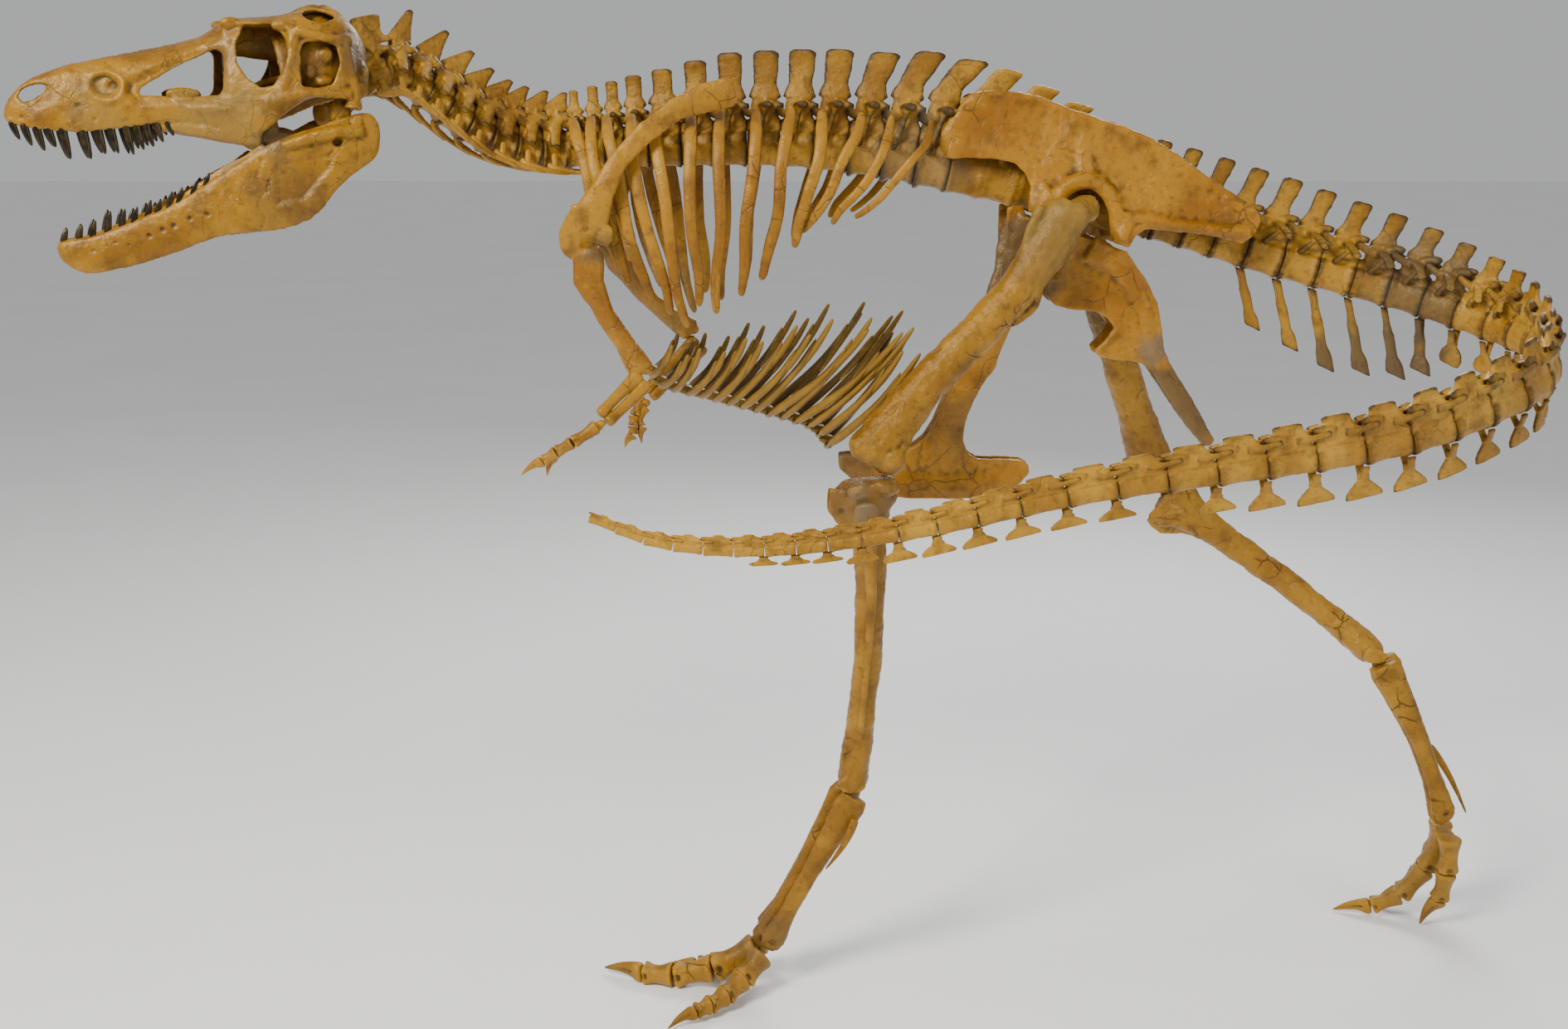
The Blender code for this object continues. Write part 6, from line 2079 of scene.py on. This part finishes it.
@dataclass
class Leg(Limb):
    """One leg from the hip to the ankle and the instep."""

    voxel: float = 0.0042

    def spot(self, way: Way, share: float, fore: float, out: float) -> Vector:
        """Point beside a bone's middle line.

        Args:
            way: Middle line of the bone.
            share: Share of the bone's length.
            fore: Distance in front of the line.
            out: Distance outwards from it.

        Returns:
            The point.
        """
        s = share * way.length
        tangent = (way.at(s + 0.01) - way.at(s - 0.01)).normalized()
        front = tangent.cross(self.out) * -self.side.value
        return way.at(s) + front * fore + self.out * out

    def ridge(self, way: Way, stops: Stops) -> Item:
        """Raised bar beside a bone, from rows of (share, fore, out, half, half)."""
        return bar(
            [self.spot(way, *row[:3]) for row in stops], [row[3:] for row in stops], self.out, 10)

    def boss(self, way: Way, share: float, fore: float, out: float, size: Triple) -> Item:
        """Rounded lump beside a bone."""
        return knob(self.spot(way, share, fore, out), size)

    def femur(self) -> Item:
        """Thigh bone with its head, three trochanters and knee joints."""
        way = Way(LEGS[self.side]["thigh"])
        socket_at = both(SOCKET, self.side.value)
        neck = self.spot(way, 0.065, 0.0, -0.004)
        parts = [rod(way, ((0.0, 0.03, 0.026), (0.03, 0.048, 0.036), (0.09, 0.056, 0.038),
                           (0.18, 0.052, 0.038), (0.3, 0.046, 0.039), (0.5, 0.045, 0.038),
                           (0.7, 0.045, 0.038), (0.82, 0.053, 0.044), (0.9, 0.06, 0.052),
                           (0.97, 0.06, 0.052), (1.0, 0.046, 0.04)), self.out, 14),
                 bar([neck, neck.lerp(socket_at, 0.6), socket_at],
                     ((0.036, 0.036), (0.031, 0.031), (0.033, 0.033)), AHEAD, 12),
                 self.boss(way, 0.03, -0.02, 0.012, (0.034, 0.024, 0.034)),
                 self.ridge(way, ((0.2, 0.04, 0.012, 0.008, 0.008),
                                  (0.12, 0.056, 0.018, 0.013, 0.01),
                                  (0.055, 0.06, 0.02, 0.014, 0.011))),
                 self.ridge(way, ((0.25, -0.036, -0.006, 0.008, 0.008),
                                  (0.31, -0.05, -0.008, 0.016, 0.008),
                                  (0.37, -0.044, -0.008, 0.014, 0.007),
                                  (0.43, -0.034, -0.006, 0.006, 0.006)))]
        for sign in (-1, 1):
            parts.append(self.boss(way, 0.945, -0.04, sign * 0.03, (0.036, 0.024, 0.036)))
            parts.append(self.boss(way, 0.965, 0.026, sign * 0.027, (0.034, 0.022, 0.032)))
            parts.append(self.ridge(way, ((0.78, -0.026, sign * 0.022, 0.01, 0.008),
                                          (0.9, -0.044, sign * 0.028, 0.018, 0.014))))
        return self.rough(fused(parts, self.voxel, 4))

    def rough(self, bone: Item) -> Item:
        """Give a long bone its uneven surface."""
        return lumpy(lumpy(bone, 0.06, 0.009), 0.018, 0.0048)

    def tibia(self) -> Item:
        """Shin bone with its crest, knee joints and ankle roller."""
        way = Way(LEGS[self.side]["shin"])
        parts = [rod(way, ((0.0, 0.052, 0.038), (0.02, 0.07, 0.046), (0.06, 0.074, 0.044),
                           (0.1, 0.057, 0.038), (0.16, 0.043, 0.033), (0.3, 0.036, 0.031),
                           (0.55, 0.034, 0.03), (0.8, 0.034, 0.034), (0.9, 0.036, 0.042),
                           (0.96, 0.036, 0.046), (1.0, 0.026, 0.04)), self.out, 14),
                 self.ridge(way, ((0.015, 0.058, 0.012, 0.024, 0.014),
                                  (0.07, 0.066, 0.014, 0.026, 0.012),
                                  (0.13, 0.044, 0.01, 0.016, 0.01),
                                  (0.2, 0.028, 0.004, 0.01, 0.008))),
                 self.ridge(way, ((0.2, 0.002, 0.026, 0.01, 0.007),
                                  (0.27, 0.002, 0.034, 0.012, 0.008),
                                  (0.34, 0.002, 0.027, 0.008, 0.006))),
                 bar([self.spot(way, 0.975, 0.004, -0.042), self.spot(way, 0.975, 0.006, 0.0),
                      self.spot(way, 0.975, 0.004, 0.044)],
                     ((0.032, 0.02), (0.026, 0.018), (0.034, 0.022)), UP, 12),
                 self.ridge(way, ((0.97, 0.026, 0.0, 0.012, 0.026),
                                  (0.9, 0.032, 0.004, 0.006, 0.024),
                                  (0.82, 0.03, 0.008, 0.003, 0.01)))]
        for sign in (-1, 1):
            parts.append(self.boss(way, 0.02, -0.048, sign * 0.028, (0.034, 0.022, 0.022)))
        return self.rough(fused(parts, self.voxel, 4))

    def fibula(self) -> Item:
        """Thin outer shin bone."""
        shin = Way(LEGS[self.side]["shin"])
        way = Way([shin.at(0.04) + self.out * 0.062, shin.at(0.3) + self.out * 0.046,
                   shin.at(0.62) + self.out * 0.046])
        return lumpy(rounded(rod(way, (
            (0.0, 0.022, 0.008), (0.03, 0.031, 0.0105), (0.1, 0.027, 0.01),
            (0.2, 0.016, 0.009), (0.3, 0.013, 0.01), (0.38, 0.014, 0.011),
            (0.5, 0.0095, 0.008), (0.85, 0.007, 0.006), (0.97, 0.0085, 0.007),
            (1.0, 0.006, 0.005)), self.out, 12), 2), 0.03, 0.0026)

    def instep(self) -> Item:
        """Three instep bones side by side, the middle one pinched at the top."""
        way = Way(LEGS[self.side]["arch"])
        bones = []
        for shift, fore, top, bottom, wide in (
                (-0.029, 0.004, 0.004, 0.955, 0.0155), (0.0, 0.007, 0.01, 1.0, 0.016),
                (0.029, -0.01, 0.006, 0.96, 0.0165)):
            pinch = 0.6 if shift == 0 else 1.12
            spread = 1.0 + 0.22 * (shift != 0)
            stops = (
                (top, 0.033, wide * pinch, 1.0), (top + 0.06, 0.04, wide * pinch, 1.0),
                (0.2, 0.032, wide * mix(pinch, 1, 0.3), 0.95), (0.5, 0.022, wide, 0.95),
                (0.76, 0.021, wide * 0.96, 1.05), (bottom - 0.09, 0.028, wide * 1.1, spread),
                (bottom - 0.03, 0.032, wide * 1.2, spread))
            points = [self.spot(way, share, fore, shift * out) for share, _, _, out in stops]
            sizes = [(deep, across) for _, deep, across, _ in stops]
            roller = self.spot(way, bottom - 0.03, fore, shift * spread)
            bone = fused([bar(points, sizes, self.out, 12),
                          knob(roller - self.out * 0.008, (0.028, 0.0075, 0.028)),
                          knob(roller + self.out * 0.008, (0.028, 0.0075, 0.028))], 0.0036, 3)
            points = points_of(bone)
            for sign in (-1, 1):
                pit = np.array(roller + self.out * sign * 0.019)
                near = bell(np.linalg.norm(points - pit, axis=1), 0.014)
                points -= np.outer(near, np.array(self.out) * sign) * 0.0055
            bones.append(lumpy(put_points(bone, points), 0.02, 0.0028))
        return joined(bones)

    def build(self) -> None:
        """All the bones of the leg above the toes."""
        side = self.side.label
        splint = Way(LEGS[self.side]["splint"])
        finished(self.femur(), f"thigh_bone_{side}", LIMB, [f"femur_{side}"])
        finished(self.tibia(), f"shin_bone_{side}", LIMB, [f"tibia_{side}"])
        finished(self.fibula(), f"outer_shin_bone_{side}", LIMB, [f"fibula_{side}"])
        finished(self.instep(), f"instep_bones_{side}", LIMB, [f"metatarsus_{side}"])
        finished(lumpy(rounded(rod(splint, ((0, 0.008, 0.005), (0.05, 0.012, 0.007),
                                            (0.4, 0.009, 0.006), (0.8, 0.005, 0.004),
                                            (1, 0.002, 0.002)), self.out, 10), 2), 0.02, 0.001),
                 f"splint_bone_{side}", LIMB, [f"splint_{side}"])


@dataclass
class Feet:
    """Toes of both feet: hourglass bones with side pits, and claws."""

    def toe(self, name: str, patterns: Patterns) -> None:
        """One toe.

        Args:
            name: Name of the plain solid that it takes the place of.
            patterns: Toe-bone and claw patterns.
        """
        way_points, size, count, claw = TOES[name]
        way = Way(way_points)
        weights = [1.18 - 0.2 * k for k in range(count)]
        body = (1 - claw) * way.length
        bones, s = [], 0.0
        for k, weight in enumerate(weights):
            length = body * weight / sum(weights)
            half = size * (1 - 0.11 * k)
            bones.append(along(patterns[0], way.at(s), way.at(s + length), half, ACROSS))
            s += length
        half = size * (1 - 0.11 * count) * 0.9
        bones.append(along(patterns[1], way.at(s), way.at(way.length), half, ACROSS, 0.78, True))
        toe = lumpy(joined(bones), 0.018, 0.0016)
        points = points_of(toe)
        points[:, 2] = np.maximum(points[:, 2], 0.0)
        finished(put_points(toe, points), name.replace("toe", "toe_bones"), LIMB, [name])

    def build(self) -> None:
        """All six toes."""
        patterns = (phalanx(), ungual())
        for name in TOES:
            self.toe(name, patterns)
        discard(patterns)


# ---- shoulders, arms and hands ----
SHOULDER = (
    (-0.482, 0.178, 1.785), (-0.458, 0.202, 1.835), (-0.415, 0.219, 1.9), (-0.385, 0.224, 1.97),
    (-0.325, 0.206, 2.045), (-0.27, 0.186, 2.085), (-0.215, 0.168, 2.124), (-0.108, 0.15, 2.152))
ARMS = {
    Side.LEFT: {
        "humerus": ((-0.437, -0.238, 1.812), (-0.42, -0.243, 1.702), (-0.372, -0.247, 1.628),
                    (-0.314, -0.252, 1.532)),
        "elbow": (-0.318, -0.262, 1.518), "wrist": (-0.399, -0.334, 1.443),
        "hand": ((-0.402, -0.342, 1.434), (-0.447, -0.36, 1.405), (-0.49, -0.363, 1.382),
                 (-0.538, -0.36, 1.35), (-0.58, -0.356, 1.322)),
        "finger": ((-0.508, -0.352, 1.362), (-0.524, -0.346, 1.318)),
    },
    Side.RIGHT: {
        "humerus": ((-0.433, 0.238, 1.805), (-0.38, 0.243, 1.705), (-0.31, 0.247, 1.63),
                    (-0.228, 0.252, 1.57)),
        "elbow": (-0.216, 0.252, 1.538), "wrist": (-0.338, 0.185, 1.42),
        "hand": ((-0.346, 0.178, 1.408), (-0.366, 0.165, 1.385), (-0.372, 0.155, 1.355),
                 (-0.374, 0.15, 1.325), (-0.394, 0.146, 1.296)),
        "finger": ((-0.35, 0.16, 1.345), (-0.352, 0.156, 1.304)),
    },
}


@dataclass
class Arm(Limb):
    """Shoulder blade, arm and two-clawed hand of one side."""

    def shoulder(self) -> Item:
        """Strap-like shoulder blade grown to its rounded lower plate."""
        way = Way([both(p, self.side.value) for p in SHOULDER])
        strap = rod(
            way,
            (
                (0.0, 0.016, 0.006), (0.03, 0.03, 0.008), (0.08, 0.044, 0.01), (0.15, 0.047, 0.012),
                (0.22, 0.04, 0.014), (0.32, 0.028, 0.012), (0.45, 0.0225, 0.0095),
                (0.6, 0.0235, 0.008), (0.75, 0.026, 0.007), (0.88, 0.034, 0.006),
                (0.97, 0.035, 0.0055), (1.0, 0.026, 0.004)), self.out, 14, 0.85)
        glenoid = both((-0.398, 0.214, 1.838), self.side.value)
        crest = both((-0.462, 0.214, 1.905), self.side.value)
        low = both((-0.452, 0.196, 1.8), self.side.value)
        parts = [strap, knob(glenoid, (0.021, 0.011, 0.026)),
                 bar([crest, crest.lerp(low, 0.5) + self.out * 0.006, low],
                     ((0.012, 0.008), (0.012, 0.01), (0.01, 0.007)), self.out, 10)]
        blade = fused(parts, 0.0036, 3)
        points = points_of(blade)
        centre = both((-0.44, 0.205, 1.852), self.side.value)
        near = bell(np.hypot(points[:, 0] - centre.x, points[:, 2] - centre.z), 0.012)
        points[:, 1] -= near * self.side.value * 0.0035
        return lumpy(lumpy(put_points(blade, points), 0.05, 0.004), 0.015, 0.0018)

    def humerus(self) -> Item:
        """Upper arm bone with its crest and elbow joints."""
        way = Way([Vector(p) for p in ARMS[self.side]["humerus"]])
        front = -AHEAD
        parts = [rod(way, ((0.0, 0.022, 0.014), (0.04, 0.035, 0.02), (0.12, 0.036, 0.019),
                           (0.25, 0.029, 0.017), (0.5, 0.0225, 0.0165), (0.75, 0.023, 0.017),
                           (0.9, 0.029, 0.02), (0.97, 0.03, 0.02), (1.0, 0.021, 0.014)),
                     self.out, 12),
                 bar([way.at(0.06 * way.length) + front * 0.016,
                      way.at(0.24 * way.length) + front * 0.024 + self.out * 0.004,
                      way.at(0.44 * way.length) + front * 0.01],
                     ((0.012, 0.009), (0.017, 0.009), (0.008, 0.007)), self.out, 10)]
        end = way.at(0.965 * way.length)
        for shift in (-0.013, 0.013):
            parts.append(knob(end + AHEAD * shift, (0.013, 0.0155, 0.012)))
        return lumpy(fused(parts, 0.003, 3), 0.02, 0.0026)

    def forearm(self, upper: bool) -> Item:
        """One of the two forearm bones.

        Args:
            upper: Whether it is the upper one; the lower is thicker at the elbow.

        Returns:
            The bone.
        """
        elbow, wrist = Vector(ARMS[self.side]["elbow"]), Vector(ARMS[self.side]["wrist"])
        apart = (wrist - elbow).cross(self.out).normalized() * (-0.0125 if upper else 0.0125)
        way = Way([mix(elbow, wrist, -0.06) + apart, mix(elbow, wrist, 0.5) + apart * 1.15,
                   wrist + apart * 0.9])
        start = (0.019, 0.0145) if upper else (0.021, 0.0165)
        return lumpy(rounded(rod(way, (
            (0.0, start[0] * 0.7, start[1] * 0.7), (0.06, *start), (0.2, start[0] * 0.8, 0.01),
            (0.5, 0.013, 0.011), (0.78, 0.0125, 0.011), (0.93, 0.0155, 0.013),
            (1.0, 0.012, 0.01)), self.out, 12), 2), 0.015, 0.0014)

    def hand(self, patterns: Patterns) -> Item:
        """Wrist, palm bones and two fingers with claws.

        Args:
            patterns: Toe-bone and claw patterns.

        Returns:
            The hand in one piece.
        """
        bone, claw = patterns
        palm = Way([Vector(p) for p in ARMS[self.side]["hand"]])
        knuckle, tip = (Vector(p) for p in ARMS[self.side]["finger"])
        reach = palm.length
        start = palm.at(0.07 * reach)
        below = (knuckle - palm.at(0.38 * reach)).normalized()
        inner = palm.at(0.3 * reach) + below * 0.013
        return joined([
            knob(palm.at(0.015 * reach) + below * 0.006, (0.013, 0.011, 0.011)),
            knob(palm.at(0.035 * reach) - below * 0.008, (0.011, 0.01, 0.009)),
            along(bone, start - below * 0.004, palm.at(0.36 * reach), 0.0175, self.out),
            along(bone, start + below * 0.014, inner, 0.0155, self.out),
            along(bone, palm.at(0.36 * reach), palm.at(0.55 * reach), 0.0165, self.out),
            along(bone, palm.at(0.55 * reach), palm.at(0.72 * reach), 0.015, self.out),
            along(claw, palm.at(0.72 * reach), palm.at(reach), 0.0125, self.out, 0.7, True),
            along(bone, inner, knuckle, 0.0115, self.out),
            along(claw, knuckle, tip, 0.011, self.out, 0.7, True)])

    def build(self, patterns: Patterns) -> None:
        """The whole arm.

        Args:
            patterns: Toe-bone and claw patterns, from which the hand is copied.
        """
        side = self.side.label
        finished(self.shoulder(), f"shoulder_blade_{side}", BONE, [f"scapula_{side}"])
        finished(self.humerus(), f"upper_arm_{side}", BONE, [f"humerus_{side}"])
        finished(self.forearm(True), f"forearm_upper_{side}", BONE, [f"radius_{side}"])
        finished(self.forearm(False), f"forearm_lower_{side}", BONE, [f"ulna_{side}"])
        finished(self.hand(patterns), f"hand_bones_{side}", BONE, [f"hand_{side}"])


# ---- studio ----
@dataclass
class Studio:
    """Pale floor, soft lamps and the camera."""

    eye: Triple = (0.0, -4.4, 2.093)
    down: float = math.radians(12.0)
    lens: float = 42.857
    shade: Colour = (0.91, 0.91, 0.9)

    def floor(self) -> None:
        """Wide pale floor."""
        bpy.ops.mesh.primitive_plane_add(size=120.0, location=(0, 0, 0))
        ground = bpy.context.object
        ground.name = "floor"
        finish, sheet, shader, place = begun("floor")
        tone = sheet.ramp(sheet.noise(place, 0.8, 3.0), 0.3, 0.7, 0.97, 1.0)
        colour = sheet.blend(1.0, (*self.shade, 1.0), tone, "MULTIPLY")
        finish.node_tree.links.new(colour, shader.inputs["Base Color"])
        shader.inputs["Roughness"].default_value = 0.75
        ground.data.materials.append(finish)

    def lamp(self, name: str, place: Triple, aim: Triple,
             size: float, power: float, colour: Colour = (1.0, 1.0, 1.0)) -> None:
        """Add one square soft lamp.

        Args:
            name: Name of the lamp.
            place: Where it hangs.
            aim: Point it shines at.
            size: Side of its panel.
            power: Strength in watts.
            colour: Colour of its light.
        """
        bpy.ops.object.light_add(type="AREA", location=place)
        lamp = bpy.context.object
        lamp.name = name
        lamp.data.shape = "SQUARE"
        lamp.data.size = size
        lamp.data.energy = power
        lamp.data.color = colour
        lamp.rotation_euler = (Vector(aim) - Vector(place)).to_track_quat("-Z", "Y").to_euler()

    def build(self) -> None:
        """Floor, lamps, pale surroundings and camera."""
        self.floor()
        self.lamp("key", (-3.2, -4.2, 5.2), (0.0, 0.0, 1.2), 2.0, 560.0, (1.0, 0.96, 0.9))
        self.lamp("fill", (4.5, -3.4, 3.0), (0.2, 0.0, 1.2), 3.0, 90.0, (0.96, 0.98, 1.0))
        self.lamp("rim", (1.5, 4.5, 4.6), (0.0, 0.0, 1.4), 2.5, 210.0)
        world = bpy.data.worlds.new("studio")
        bpy.context.scene.world = world
        world.use_nodes = True
        backdrop = world.node_tree.nodes["Background"]
        backdrop.inputs["Color"].default_value = (0.93, 0.94, 0.95, 1.0)
        backdrop.inputs["Strength"].default_value = 0.5
        bpy.ops.object.camera_add(
            location=Vector(self.eye) + SHIFT, rotation=(math.pi / 2 - self.down, 0.0, 0.0))
        camera = bpy.context.object
        camera.data.lens = self.lens
        camera.data.sensor_width = 36.0
        camera.data.sensor_fit = "HORIZONTAL"
        camera.data.clip_end = 200.0
        bpy.context.scene.camera = camera


def main() -> None:
    """Build the skeleton group by group, then the studio."""
    logging.basicConfig(level=logging.INFO, format="%(name)s: %(message)s")
    column = Column()
    column.neck()
    column.back()
    column.hips()
    column.tail()
    Ribs(column).build()
    BellyRibs().build()
    Skull().build()
    Jaws().build()
    Hips().build()
    for side in Side:
        Leg(side).build()
    Feet().build()
    patterns = (phalanx(), ungual())
    for side in Side:
        Arm(side).build(patterns)
    discard(patterns)
    Studio().build()


if __name__ == "__main__":
    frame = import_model()
    bpy.ops.object.select_all(action="DESELECT")
    main()
